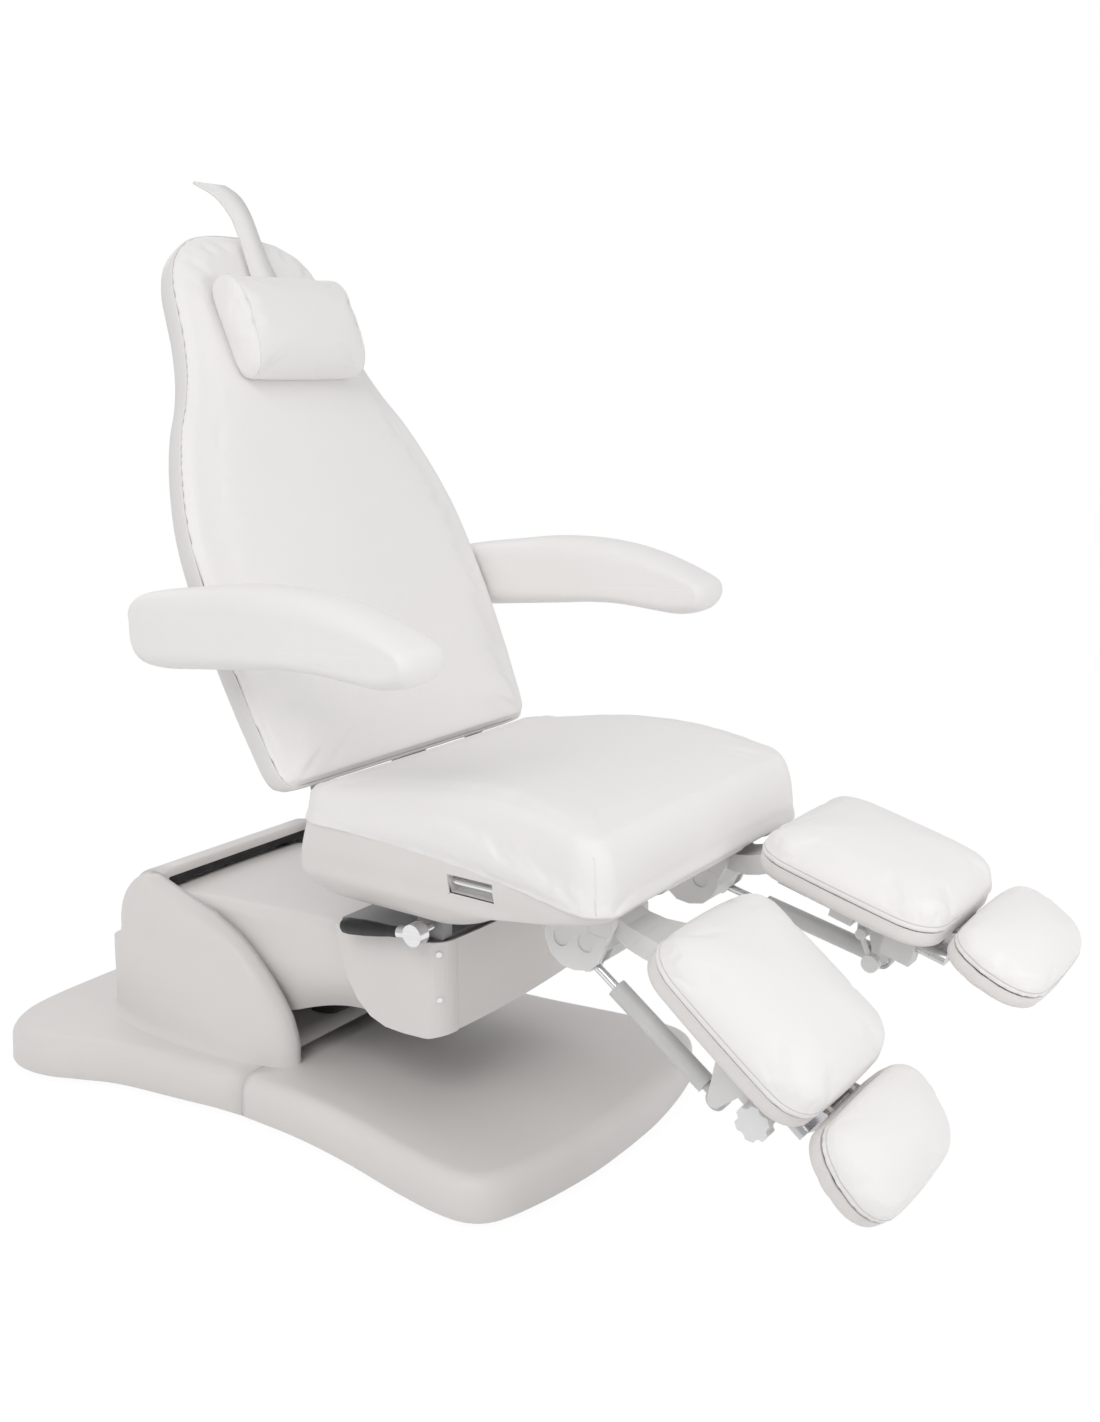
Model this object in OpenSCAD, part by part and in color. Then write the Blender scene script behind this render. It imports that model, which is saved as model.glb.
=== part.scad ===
// Podiatry chair: an electric treatment chair with a parallelogram lift, a swivelling seat,
// a reclining back with folding armrests and two separately hinged leg rests.
// The origin is on the floor below the seat; the chair faces -Y, and +X is the sitter's left.

/* [Base] */
// Length of the base from rear edge to front edge
base_len = 1103; // [900:1:1300]
// Distance of the base's rear edge behind the origin
base_rear = 865; // [800:1:940]
// Width of the base at its rear lobe
base_w = 744; // [640:1:820]
// Height of the base covers
base_h = 75; // [68:1:95]
// Gap between the floor and the skirt of the covers
skirt_gap = 10; // [6:1:14]
// Radius of the top edge of the base covers
base_edge = 26; // [14:1:32]
// Place of the joint between the front and the rear cover
base_split = 325; // [300:1:335]
// Wall of the moulded covers
wall = 4; // [3:0.5:5]

/* [Lift] */
// Height of the lower pivot of the lift arm
lift_z = 165; // [155:1:175]
// Distance of the lower pivot behind the origin
lift_y = 520; // [505:1:530]
// Run of the lift arm from its lower to its upper pivot
arm_run = 430; // [420:1:440]
// Rise of the lift arm from its lower to its upper pivot
arm_rise = 97; // [90:1:104]
// Diameter of the lift pivot pins
lift_pin_d = 24; // [18:1:26]
// Half width of the lift arm's cover
arm_cover_hw = 168; // [150:1:170]

/* [Column] */
// Half width of the column cover
column_hw = 187; // [184:1:205]
// Front face of the column cover, in front of the origin
column_front = 22; // [14:1:34]
// Depth of the column cover from front to rear
column_depth = 209; // [195:1:215]
// Height of the column's top plate above the floor
column_top = 345; // [342:1:350]
// Distance of the swivel axis behind the origin
swivel_y = 60; // [50:1:70]

/* [Seat] */
// Width of the seat cushion
seat_w = 600; // [560:1:640]
// Length of the seat cushion
seat_len = 537; // [500:1:560]
// Distance of the seat's front edge in front of the origin
seat_front = 375; // [360:1:390]
// Height of the seat cushion's underside above the floor
seat_z = 541; // [535:1:550]
// Thickness of the seat cushion at its rear edge
seat_t = 58; // [50:1:70]

/* [Back] */
// Recline of the back from the vertical
recline = 24.57; // [20:0.01:30]
// Length of the back
back_len = 885; // [820:1:930]
// Width of the back at its widest place
back_w = 630; // [580:1:634]
// Thickness of the back cushion at its edge
back_t = 22; // [18:1:30]
// Depth of the back shell behind the cushion
shell_depth = 52; // [46:1:62]

/* [Armrests] */
// Width of an armrest
armrest_w = 92; // [80:1:100]
// Clear width between the armrests
armrest_gap = 644; // [640:1:680]
// Length of an armrest
armrest_len = 522; // [480:1:560]

/* [Legs] */
// Width of a leg cushion
leg_w = 292; // [270:1:296]
// Length of a leg cushion
leg_len = 289; // [260:1:300]
// Length of a foot cushion
foot_len = 150; // [130:1:160]
// Slope of the right leg rest below the level
right_tilt = 38; // [30:1:45]
// Slope of the left leg rest below the level
left_tilt = 15; // [8:1:22]

/* [Hidden] */
$fn = 48;

// Colours
plastic_c = [0.86, 0.85, 0.84];
vinyl_c = [0.95, 0.95, 0.94];
steel_c = [0.35, 0.36, 0.38];
bright_c = [0.78, 0.79, 0.8];
rubber_c = [0.12, 0.12, 0.12];
motor_c = [0.2, 0.2, 0.22];

// Clearances
run_gap = 0.05;
soft_gap = 0.3;
side_gap = 1;
over = 20;

// Points of a closed ring, moved inwards by d along the outward normals
function ring_normal(p, i) =
    let (n = len(p), a = p[(i + n - 1) % n], b = p[(i + 1) % n], t = b - a, l = norm(t))
    [t.y / l, -t.x / l];
function inset_ring(p, d) = [for (i = [0:len(p) - 1]) p[i] - d * ring_normal(p, i)];
function shrink_ring(p, c, k) = [for (q = p) c + k * (q - c)];
function at_z(p, z) = [for (q = p) [q.x, q.y, z]];
function mean(p, i = 0) = i == len(p) - 1 ? p[i] : p[i] + mean(p, i + 1);
function centre(p) = mean(p) / len(p);
function mirrored_half(h) = concat(h, [for (i = [len(h) - 2:-1:1]) [-h[i].x, h[i].y]]);

// Smooth curve through the points of h, with k steps a span
function curve_point(a, b, c, d, t) =
    0.5 * (2 * b + (c - a) * t + (2 * a - 5 * b + 4 * c - d) * t * t + (3 * b - a - 3 * c + d) * t * t * t);
function curve(h, k) = concat(
    [for (i = [0:len(h) - 2], j = [0:k - 1])
        curve_point(h[max(i - 1, 0)], h[i], h[i + 1], h[min(i + 2, len(h) - 1)], j / k)],
    [h[len(h) - 1]]
);

// Rounded rectangle from y0 to y1, counter-clockwise from above, its sides drawn in by pull
function arc_points(cx, cy, r, a0, n) =
    [for (i = [0:n]) [cx + r * cos(a0 + 90 * i / n), cy + r * sin(a0 + 90 * i / n)]];
function side_points(a, b, pull, m) = let (d = b - a, l = norm(d), q = [-d.y, d.x] / l)
    [for (k = [1:m]) let (t = k / (m + 1)) a + d * t + q * pull * 4 * t * (1 - t)];
function round_rect(hw, y0, y1, r0, r1, pull = 0, n = 5, m = 3) =
    let (c1 = arc_points(hw - r1, y1 - r1, r1, 0, n), c2 = arc_points(r1 - hw, y1 - r1, r1, 90, n),
        c3 = arc_points(r0 - hw, y0 + r0, r0, 180, n), c4 = arc_points(hw - r0, y0 + r0, r0, 270, n))
    concat(c1, side_points(c1[n], c2[0], pull, m), c2, side_points(c2[n], c3[0], pull, m),
        c3, side_points(c3[n], c4[0], pull, m), c4, side_points(c4[n], c1[0], pull, m));

// Solid through equal rings that run counter-clockwise seen from the last one.
// ends is "fan" for closed ends, "flat" for plane ends, and "loop" to join the last ring to the first.
module skin(rings, ends = "fan", low = undef, high = undef) {
    n = len(rings[0]);
    m = len(rings);
    tips = ends == "fan" ? [is_undef(low) ? centre(rings[0]) : low,
        is_undef(high) ? centre(rings[m - 1]) : high] : [];
    points = concat([for (r = rings) each r], tips);
    sides = [for (j = [0:ends == "loop" ? m - 1 : m - 2], i = [0:n - 1])
        let (k = (i + 1) % n, p = j * n, q = ((j + 1) % m) * n)
        each [[p + i, q + k, p + k], [p + i, q + i, q + k]]];
    fans = ends == "fan" ? [for (i = [0:n - 1]) let (k = (i + 1) % n, q = (m - 1) * n)
        each [[m * n, i, k], [m * n + 1, q + k, q + i]]] : [];
    flats = ends == "flat" ? [[for (i = [0:n - 1]) i], [for (i = [n - 1:-1:0]) (m - 1) * n + i]] : [];
    polyhedron(points, concat(sides, fans, flats), convexity = 8);
}

// Rings of a cushion: a drawn-in foot, an upright side, a round edge and a crown
function cushion_rings(o, c, z0, side, edge, crown, foot = 4, arc = 4) =
    let (inner = inset_ring(o, edge), top = z0 + side)
    concat(
        [at_z(inset_ring(o, foot), z0), at_z(o, z0 + foot)],
        [for (i = [1:arc]) let (a = 90 * i / arc)
            at_z(inset_ring(o, edge * (1 - cos(a))), top - edge + edge * sin(a))],
        [for (t = [0.25, 0.5, 0.75]) at_z(shrink_ring(inner, c, 1 - t), top + crown * (1 - (1 - t) * (1 - t)))]
    );

// Cylinder of diameter d along X from x0 to x1, at the height and depth of p
module cross_pin(p, d, x0, x1) {
    translate([x0, p.x, p.y]) rotate([0, 90, 0]) cylinder(d = d, h = x1 - x0);
}
// Outline in depth and height, extruded from x0 to x1
module side_plate(x0, x1, p) {
    translate([x0, 0, 0]) rotate([90, 0, 90]) linear_extrude(x1 - x0) polygon(p);
}
module block(x0, x1, y0, y1, z0, z1) {
    translate([x0, y0, z0]) cube([x1 - x0, y1 - y0, z1 - z0]);
}
module both_sides() {
    children();
    mirror([1, 0, 0]) children();
}

// Base covers: half outlines from the front to the rear, as shares of half width and length
front_half_shares = [[0, 1], [0.245, 0.997], [0.516, 0.983], [0.73, 0.962], [0.817, 0.934], [0.839, 0.89],
    [0.82, 0.82], [0.762, 0.7], [0.734, 0.6], [0.734, 0.5]];
rear_half_shares = [[0.75, 0.44], [0.785, 0.378], [0.847, 0.267], [0.925, 0.2], [0.978, 0.158], [1, 0.118],
    [0.989, 0.08], [0.93, 0.043], [0.81, 0.016], [0.645, 0.004], [0.35, 0], [0, 0]];
base_hw = base_w / 2;
waist_hw = base_hw * 0.734;
function base_point(s) = [s.x * base_hw, base_rear - s.y * base_len];
front_curve = curve([for (s = front_half_shares) base_point(s)], 2);
front_half = concat([for (p = front_curve) if (p.y < base_split - side_gap) p],
    [[waist_hw, base_split], [waist_hw / 2, base_split], [0, base_split]]);
rear_curve = curve([for (s = rear_half_shares) base_point(s)], 2);
rear_half = concat([[0, base_split], [waist_hw / 2, base_split], [waist_hw, base_split]], rear_curve);
function cover_ring(half, d, z, y) = let (o = mirrored_half(half), q = inset_ring(o, d))
    [for (i = [0:len(o) - 1]) o[i].y == base_split
        ? [o[i].x * (1 - d / waist_hw), y, z] : [q[i].x, q[i].y, z]];
skirt_draft = 2;
base_crown = 2;
function cover_rings(half, y, in_y) = let (low = base_h - base_edge, r = base_edge - wall)
    concat(
        [for (a = [90, 60, 30]) cover_ring(half, wall + skirt_draft + r * (1 - cos(a)), low + r * sin(a), in_y)],
        [cover_ring(half, wall + skirt_draft, low, in_y), cover_ring(half, wall, skirt_gap, in_y),
            cover_ring(half, 0, skirt_gap, y), cover_ring(half, skirt_draft, low, y)],
        [for (a = [22.5, 45, 67.5, 90])
            cover_ring(half, skirt_draft + base_edge * (1 - cos(a)), low + base_edge * sin(a), y)]
    );
split_flange = 12;

module front_base_cover() color(plastic_c) {
    y = base_split - side_gap / 2;
    mid = [0, base_split - base_len / 4];
    difference() {
        skin(cover_rings(front_half, y, y - wall), "fan", [mid.x, mid.y, base_h - wall],
            [mid.x, mid.y, base_h + base_crown]);
        block(split_flange - waist_hw, waist_hw - split_flange, y - split_flange, y + over, 0, base_h - 2 * wall);
    }
}

// Opening in the deck under the lift housing
deck_hw = 150;
deck_y0 = base_split + 20;
deck_y1 = lift_y + 130;
module rear_base_cover() color(plastic_c) {
    y = base_split + side_gap / 2;
    mid = [0, base_split + base_len / 4];
    difference() {
        skin(cover_rings(rear_half, y, y + wall), "fan", [mid.x, mid.y, base_h - wall],
            [mid.x, mid.y, base_h + base_crown]);
        block(split_flange - waist_hw, waist_hw - split_flange, y - over, y + split_flange, 0, base_h - 2 * wall);
        block(-deck_hw, deck_hw, deck_y0, deck_y1, 0, base_h + over);
    }
}

// Base frame: rails, cross rails, posts under the covers, and the tower that carries the lift
rail_h = 40;
rail_w = 50;
foot_h = 14;
frame_top = foot_h + rail_h;
rail_x = 150;
foot_d = 46;
rear_foot = [base_hw - 52, base_rear - 72];
front_foot = [waist_hw - 42, base_rear - base_len + 92];
tower_x = 80;
tower_t = 12;
tie_dy = 25;
tie_dz = 55;
tie_pin_d = 20;
lift_a = [lift_y, lift_z];
tie_a = lift_a + [tie_dy, tie_dz];
lift_b = lift_a + [-arm_run, arm_rise];
tie_b = lift_b + [tie_dy, tie_dz];
motor_c0 = lift_a + [-90, -103];
motor_pin_d = 16;
lug_t = 8;
lug_x = 16;
post_d = 24;
module disc_plate(x0, x1, a, b, r) {
    n = [a.y - b.y, b.x - a.x] / norm(b - a) * r * 0.94;
    cross_pin(a, 2 * r, x0, x1);
    cross_pin(b, 2 * r, x0, x1);
    side_plate(x0, x1, [a - n, b - n, b + n, a + n]);
}
module base_frame() color(steel_c) {
    y0 = front_foot.y - rail_w / 2;
    y1 = rear_foot.y + rail_w / 2;
    both_sides() block(rail_x - rail_w / 2, rail_x + rail_w / 2, y0, y1, foot_h, frame_top);
    block(-front_foot.x - foot_d / 2, front_foot.x + foot_d / 2, y0, y0 + rail_w, foot_h, frame_top);
    block(-rear_foot.x - foot_d / 4, rear_foot.x + foot_d / 4, y1 - rail_w, y1, foot_h, frame_top);
    block(-rail_x, rail_x, motor_c0.x - rail_w / 2, motor_c0.x + rail_w / 2, foot_h, frame_top - 2 * lug_t);
    block(-rail_x, rail_x, lift_y - rail_w / 2, lift_y + rail_w, foot_h, frame_top);
    both_sides() {
        for (y = [y0 + rail_w / 2, base_split - rail_w, base_split + rail_w / 2, y1 - rail_w / 2])
            translate([rail_x, y, frame_top]) cylinder(d = post_d, h = base_h - wall - frame_top);
        difference() {
            side_plate(tower_x, tower_x + tower_t, [
                [lift_y - 2.2 * rail_w, foot_h], [lift_y + 1.8 * rail_w, foot_h],
                [tie_a.x + tie_pin_d, tie_a.y], [tie_a.x + tie_pin_d / 2, tie_a.y + tie_pin_d],
                [tie_a.x - tie_pin_d / 2, tie_a.y + tie_pin_d], [lift_a.x - lift_pin_d, lift_a.y]
            ]);
            cross_pin(lift_a, lift_pin_d + 2 * run_gap, tower_x - 1, tower_x + tower_t + 1);
            cross_pin(tie_a, tie_pin_d + 2 * run_gap, tower_x - 1, tower_x + tower_t + 1);
        }
        difference() {
            side_plate(lug_x, lug_x + lug_t, [
                [motor_c0.x - rail_w / 2, foot_h], [motor_c0.x + rail_w / 2, foot_h],
                [motor_c0.x + motor_pin_d, motor_c0.y + motor_pin_d / 2],
                [motor_c0.x, motor_c0.y + motor_pin_d], [motor_c0.x - motor_pin_d, motor_c0.y + motor_pin_d / 2]
            ]);
            cross_pin(motor_c0, motor_pin_d + 2 * run_gap, lug_x - 1, lug_x + lug_t + 1);
        }
    }
}
module base_feet() color(rubber_c) for (p = [rear_foot, front_foot]) both_sides() {
    translate([p.x, p.y, 0]) cylinder(d1 = foot_d, d2 = foot_d * 0.8, h = foot_h * 0.65);
    translate([p.x, p.y, foot_h * 0.65]) cylinder(d = foot_d / 2, h = foot_h * 0.35);
}
module lift_pins() color(bright_c) {
    cross_pin(lift_a, lift_pin_d, -tower_x - tower_t, tower_x + tower_t);
    cross_pin(tie_a, tie_pin_d, -tower_x - tower_t, tower_x + tower_t);
    cross_pin(motor_c0, motor_pin_d, -lug_x - lug_t, lug_x + lug_t);
}

// Lift housing: two fenders with a round front, and the roof and rear wall between them
fender_x = arm_cover_hw + 10;
fender_band = 50;
fender_bulge = 122;
fender_r = 328;
fender_mid = base_rear - 293;
shoulder_z = 236;
roof_z = 343;
housing_rear = base_rear - 144;
function fender_front(z) = fender_mid - sqrt(max(0, fender_r * fender_r - z * z));
function fender_rear(z) = z <= shoulder_z - 9
    ? housing_rear - 22 * (z - base_h) / (shoulder_z - base_h)
    : fender_mid + 17 + 96 * sqrt(max(0, 1 - pow((z - shoulder_z) / (fender_r + 4 - shoulder_z), 2)));
function fender_out(z) = z <= shoulder_z
    ? fender_band + (fender_bulge - fender_band) * sqrt(max(0, 1 - pow((z - base_h) / (shoulder_z - base_h), 4)))
    : fender_band * (1 - 0.5 * pow((z - shoulder_z) / (fender_r - shoulder_z), 4));
function fender_ring(z) = let (a = fender_front(z), b = fender_rear(z), m = (a + b) / 2, h = (b - a) / 2,
    w = fender_out(z), n = 16)
    concat([for (i = [0:n]) let (t = 180 * i / n - 90, s = sin(t), c = max(0, cos(t)))
        [fender_x + w * pow(c, 0.4), m + h * sign(s) * pow(abs(s), 0.8), z]],
        [[fender_x, m + h / 2, z], [fender_x, m, z], [fender_x, m - h / 2, z]]);
fender_levels = [0, 0.2, 0.4, 0.52, 0.59, 0.63, 0.645, 0.72, 0.8, 0.88, 0.94, 0.98];
module lift_housing() color(plastic_c) {
    levels = [for (s = fender_levels) base_h + base_crown + s * (fender_r - base_h - base_crown)];
    n = len(levels);
    both_sides() skin(concat(
        [for (i = [n - 2:-2:1]) at_z(inset_ring(fender_ring(levels[i]), wall), levels[i])],
        [at_z(inset_ring(fender_ring(levels[0]), wall), levels[0])],
        [for (z = levels) fender_ring(z)]
    ));
    rim = lift_y + 74;
    lip = 18;
    bottom = base_h + base_crown;
    outer = [[rim, roof_z - lip - 8], [rim, roof_z - 6], [rim + 8, roof_z], [rim + 34, roof_z - 3],
        [rim + 60, roof_z - 18], [rim + 80, roof_z - 43], [rim + 94, roof_z - 81],
        [rim + 104, roof_z - 123], [housing_rear - 8, roof_z - 203], [housing_rear, bottom]];
    inner = [[housing_rear - wall, bottom], [housing_rear - 8 - wall, roof_z - 203],
        [rim + 104 - wall, roof_z - 123], [rim + 94 - wall, roof_z - 82], [rim + 77, roof_z - 45],
        [rim + 57, roof_z - 22], [rim + 34, roof_z - 8], [rim + 10, roof_z - 6], [rim + wall, roof_z - 12],
        [rim + wall, roof_z - lip - 8]];
    side_plate(-fender_x, fender_x, concat(outer, inner));
}

// Lift arm with its cover, and the tie link that keeps the carrier level
arm_plate_x = 56;
arm_plate_t = 10;
arm_plate_r = 22;
tie_x = 34;
tie_t = 8;
tie_r = 15;
rod_d0 = lift_b + [60, -30];
rod_pin_d = 14;
module arm_at(p, q, t) { translate([0, p.x + (q.x - p.x) * t, p.y + (q.y - p.y) * t]) children(); }
module lift_arm() color(steel_c) difference() {
    union() {
        both_sides() disc_plate(arm_plate_x, arm_plate_x + arm_plate_t, lift_a, lift_b, arm_plate_r);
        for (p = [lift_a, lift_b]) cross_pin(p, 2 * arm_plate_r, -arm_plate_x, arm_plate_x);
        cross_pin(rod_d0, rod_pin_d, -arm_plate_x, arm_plate_x);
        for (t = [0.3, 0.72]) both_sides() arm_at(lift_a, lift_b, t)
            rotate([atan2(-arm_rise, arm_run), 0, 0])
                block(arm_plate_x + arm_plate_t, arm_cover_hw - wall, -arm_plate_r / 2, arm_plate_r / 2, -wall, wall);
    }
    for (p = [lift_a, lift_b])
        cross_pin(p, lift_pin_d + 2 * run_gap, -arm_plate_x - over, arm_plate_x + over);
}
// Heights of the arm cover's top and lower edge along its length
cover_front = lift_b.x + 46;
cover_back = lift_y + 88;
cover_top = 331;
function cover_high(y) = cover_top - 27 * pow((y - cover_front) / (cover_back - cover_front), 1.4);
function cover_low(y) = y < lift_y - 219
    ? 160 + 42 * sin(90 * (lift_y - 219 - y) / (lift_y - 219 - cover_front))
    : 160 - 20 * sin(90 * min(1, (y - lift_y + 219) / 120)) + 40 * max(0, (y - lift_y) / 88);
cover_edge = 20;
cover_crown = 2.5;
function cover_section(y, d) = let (hw = arm_cover_hw - d, zt = cover_high(y) - d, zb = cover_low(y),
    r = cover_edge - d)
    concat([[hw, zb]], arc_points2(hw - r, zt - r, r, 0, 4), [[0, zt + cover_crown]],
        arc_points2(r - hw, zt - r, r, 90, 4), [[-hw, zb]]);
function arc_points2(cx, cz, r, a0, n) = [for (i = [0:n]) [cx + r * cos(a0 + 90 * i / n), cz + r * sin(a0 + 90 * i / n)]];
function cover_station(y) = let (o = cover_section(y, 0), q = cover_section(y, wall))
    [for (p = concat(o, [for (i = [len(q) - 1:-1:0]) q[i]])) [p.x, y, p.y]];
module arm_cover() color(plastic_c)
    skin([for (s = [0:0.125:1]) cover_station(cover_back + s * (cover_front - cover_back))], "flat");
module tie_link() color(steel_c) difference() {
    union() {
        both_sides() disc_plate(tie_x, tie_x + tie_t, tie_a, tie_b, tie_r);
        for (t = [0.35, 0.65]) arm_at(tie_a, tie_b, t) block(-tie_x, tie_x, -tie_r, tie_r, -wall, wall);
    }
    for (p = [tie_a, tie_b]) cross_pin(p, tie_pin_d + 2 * run_gap, -tie_x - over, tie_x + over);
}

// Linear actuator: a motor tube hinged at a, and a rod whose eye lies loosely round the pin at b
function reach(a, b) = norm(b - a);
module along(a, b, x = 0) { translate([x, a.x, a.y]) rotate([90 - atan2(b.y - a.y, a.x - b.x), 0, 0]) children(); }
module actuator_tube(r, len, rod_r, pin_r, w) {
    eye = pin_r * 2.4;
    difference() {
        union() {
            rotate([0, 90, 0]) cylinder(r = eye, h = 2 * w, center = true);
            translate([-w, -eye * 0.8, 0]) cube([2 * w, eye * 1.6, eye * 1.6]);
            translate([0, 0, eye * 1.3]) cylinder(r = r, h = len - eye * 1.3);
        }
        rotate([0, 90, 0]) cylinder(r = pin_r + run_gap, h = 4 * w, center = true);
        translate([0, 0, eye * 2.2]) cylinder(r = rod_r + run_gap, h = len);
    }
}
module actuator_rod(rod_r, start, l, eye_in, eye_out, w) {
    difference() {
        union() {
            translate([0, 0, start]) cylinder(r = rod_r, h = l - start - eye_in);
            translate([0, 0, l]) rotate([0, 90, 0]) cylinder(r = eye_out, h = 2 * w, center = true);
        }
        translate([0, 0, l]) rotate([0, 90, 0]) cylinder(r = eye_in, h = 4 * w, center = true);
    }
}
lift_l = reach(motor_c0, rod_d0);
lift_tube_r = 21;
lift_tube_len = 205;
lift_rod_r = 10;
lift_eye_gap = 5;
motor_w = lug_x - 0.5;
module lift_motor() color(motor_c) along(motor_c0, rod_d0) {
    actuator_tube(lift_tube_r, lift_tube_len, lift_rod_r, motor_pin_d / 2, motor_w);
    translate([0, 0, 24]) {
        block(0, 2 * lift_tube_r, -lift_tube_r / 2, lift_tube_r / 2, 0, 30);
        translate([2.2 * lift_tube_r, 0, 0]) cylinder(r = lift_tube_r * 0.9, h = 95);
    }
}
module lift_rod() color(bright_c) along(motor_c0, rod_d0)
    actuator_rod(lift_rod_r, 105, lift_l, rod_pin_d / 2 + lift_eye_gap, rod_pin_d / 2 + lift_eye_gap + 6, 12);

// Carrier head inside the column, its pins, and the column's covers
head_x = 78;
head_t = 10;
plate_t = 8;
column_rear = column_depth - column_front;
corner_r = 38;
panel_hw = 146;
head_front = -column_front + wall + 14;
clamp_y = 2;
clamp_z = column_top + 29;
shaft_d = 12;
module carrier_head() color(steel_c) {
    difference() {
        union() {
            both_sides() {
                for (q = [lift_b, tie_b]) cross_pin(q, 40, head_x, head_x + head_t);
                side_plate(head_x, head_x + head_t, [[head_front + 1, lift_b.y - 17], [lift_b.x + 2, lift_b.y - 19],
                    [lift_b.x + 18, lift_b.y - 5], [tie_b.x + 17, tie_b.y - 7], [tie_b.x + 12, column_top + 1],
                    [head_front + 1, column_top + 1]]);
            }
            block(-panel_hw, panel_hw, head_front, head_front + plate_t, lift_b.y - 50, column_top);
            block(-panel_hw, panel_hw, head_front - wall, corner_r - column_front, column_top, column_top + plate_t);
            block(wall - column_hw, column_hw - wall, corner_r - column_front, column_rear - 12, column_top,
                column_top + plate_t);
            for (x = [-panel_hw + 35, panel_hw - 35], z = [lift_b.y - 22, column_top - 25])
                translate([x, head_front, z]) rotate([90, 0, 0])
                    cylinder(d = post_d, h = head_front + column_front - wall);
            block(-168, -145, clamp_y - 14, clamp_y + 34, column_top + plate_t, clamp_z + 12);
        }
        for (p = [lift_b]) cross_pin(p, lift_pin_d + 2 * run_gap, -head_x - over, head_x + over);
        cross_pin(tie_b, tie_pin_d + 2 * run_gap, -head_x - over, head_x + over);
        cross_pin([clamp_y, clamp_z], shaft_d + 2 * run_gap, -200, -100);
        translate([0, swivel_y, column_top - 1]) cylinder(d = 60, h = plate_t + 2);
    }
}
module carrier_pins() color(bright_c) {
    cross_pin(lift_b, lift_pin_d, -head_x - head_t, head_x + head_t);
    cross_pin(tie_b, tie_pin_d, -head_x - head_t, head_x + head_t);
}
module column_cover() color(plastic_c) both_sides() {
    cx = column_hw - corner_r;
    cy = corner_r - column_front;
    outer = [for (i = [0:8]) let (a = 270 + 90 * i / 8) [cx + corner_r * cos(a), cy + corner_r * sin(a)]];
    ri = corner_r - wall;
    inner = [for (i = [8:-1:0]) let (a = 270 + 90 * i / 8) [cx + ri * cos(a), cy + ri * sin(a)]];
    plan = concat([[panel_hw, -column_front]], outer, [[column_hw, column_rear], [column_hw - wall, column_rear]],
        inner, [[panel_hw, wall - column_front]]);
    top = column_top + 6;
    f = -column_front;
    difference() {
        intersection() {
            linear_extrude(top) polygon(plan);
            side_plate(panel_hw - 1, column_hw + 1, [[f - 1, top], [corner_r + f, top], [column_rear, top - 9],
                [column_rear - 7, top - 45], [column_rear - 22, top - 92], [column_rear - 42, top - 124],
                [column_rear - 68, top - 146], [column_rear - 98, top - 156], [column_rear - 134, top - 157],
                [f + 26, top - 154], [f - 1, top - 147]]);
        }
        for (z = screw_z) screw_place(z) cylinder(d = screw_d / 2 + 2 * run_gap, h = over, center = true);
    }
}
screw_d = 9;
screw_z = [column_top - 12, column_top - 84];
module screw_place(z) {
    translate([column_hw - corner_r, corner_r - column_front, z]) rotate([0, 90, -45])
        translate([0, 0, corner_r]) children();
}
module column_screws() color(bright_c) both_sides() for (z = screw_z) screw_place(z) {
    translate([0, 0, run_gap]) cylinder(d = screw_d, h = 2.4);
    translate([0, 0, -wall - 3]) cylinder(d = screw_d / 2, h = wall + 3 + run_gap);
}
panel_bow = 6;
module column_panel() color(plastic_c) {
    hw = panel_hw - side_gap / 2;
    front = [for (i = [0:12]) let (t = 2 * i / 12 - 1) [hw * t, -column_front - panel_bow * (1 - t * t)]];
    back = [for (i = [12:-1:0]) let (t = 2 * i / 12 - 1) [hw * t, wall - column_front - panel_bow * (1 - t * t)]];
    translate([0, 0, column_top - 140]) linear_extrude(146) polygon(concat(front, back));
    for (x = [35 - panel_hw, panel_hw - 35], z = [lift_b.y - 22, column_top - 25])
        translate([x, wall - column_front, z]) rotate([90, 0, 0]) cylinder(d = post_d / 2, h = wall + 1);
}
bearing_z = column_top + plate_t;
bearing_h = 20;
bearing_r = 70;
hub_r = 45;
module swivel_bearing() color(bright_c) translate([0, swivel_y, bearing_z]) rotate_extrude()
    polygon([[hub_r + run_gap, 0], [bearing_r, 0], [bearing_r, bearing_h - 6], [bearing_r - 5, bearing_h - 6],
        [bearing_r - 5, bearing_h], [hub_r + run_gap, bearing_h]]);

// Lock lever of the swivel: shaft, boss and rod, with a moulded grip
lever_x = column_hw + 25;
lever_slope = 7;
grip_len = 112;
module lever_place() {
    translate([-lever_x, clamp_y, clamp_z]) rotate([-lever_slope, 0, 0]) children();
}
module lever_rod() color(bright_c) {
    cross_pin([clamp_y, clamp_z], shaft_d, -lever_x + 6, -145);
    lever_place() {
        rotate([0, 90, 0]) cylinder(d = 34, h = 20, center = true);
        rotate([-90, 0, 0]) cylinder(d = 19, h = 32);
        rotate([-90, 0, 0]) cylinder(d = 10, h = 32 + grip_len - 20);
    }
}
module lever_grip() color(rubber_c) lever_place() rotate([-90, 0, 0]) difference() {
    rotate_extrude() polygon([[0, 32.2], [8.5, 32.2], [8.8, 50], [11, 75], [12.6, 100], [13, 130], [12, 140],
        [9, 144], [0, 145]]);
    translate([0, 0, over]) cylinder(d = 10 + 2 * run_gap, h = 12 + grip_len - 19);
}

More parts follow.
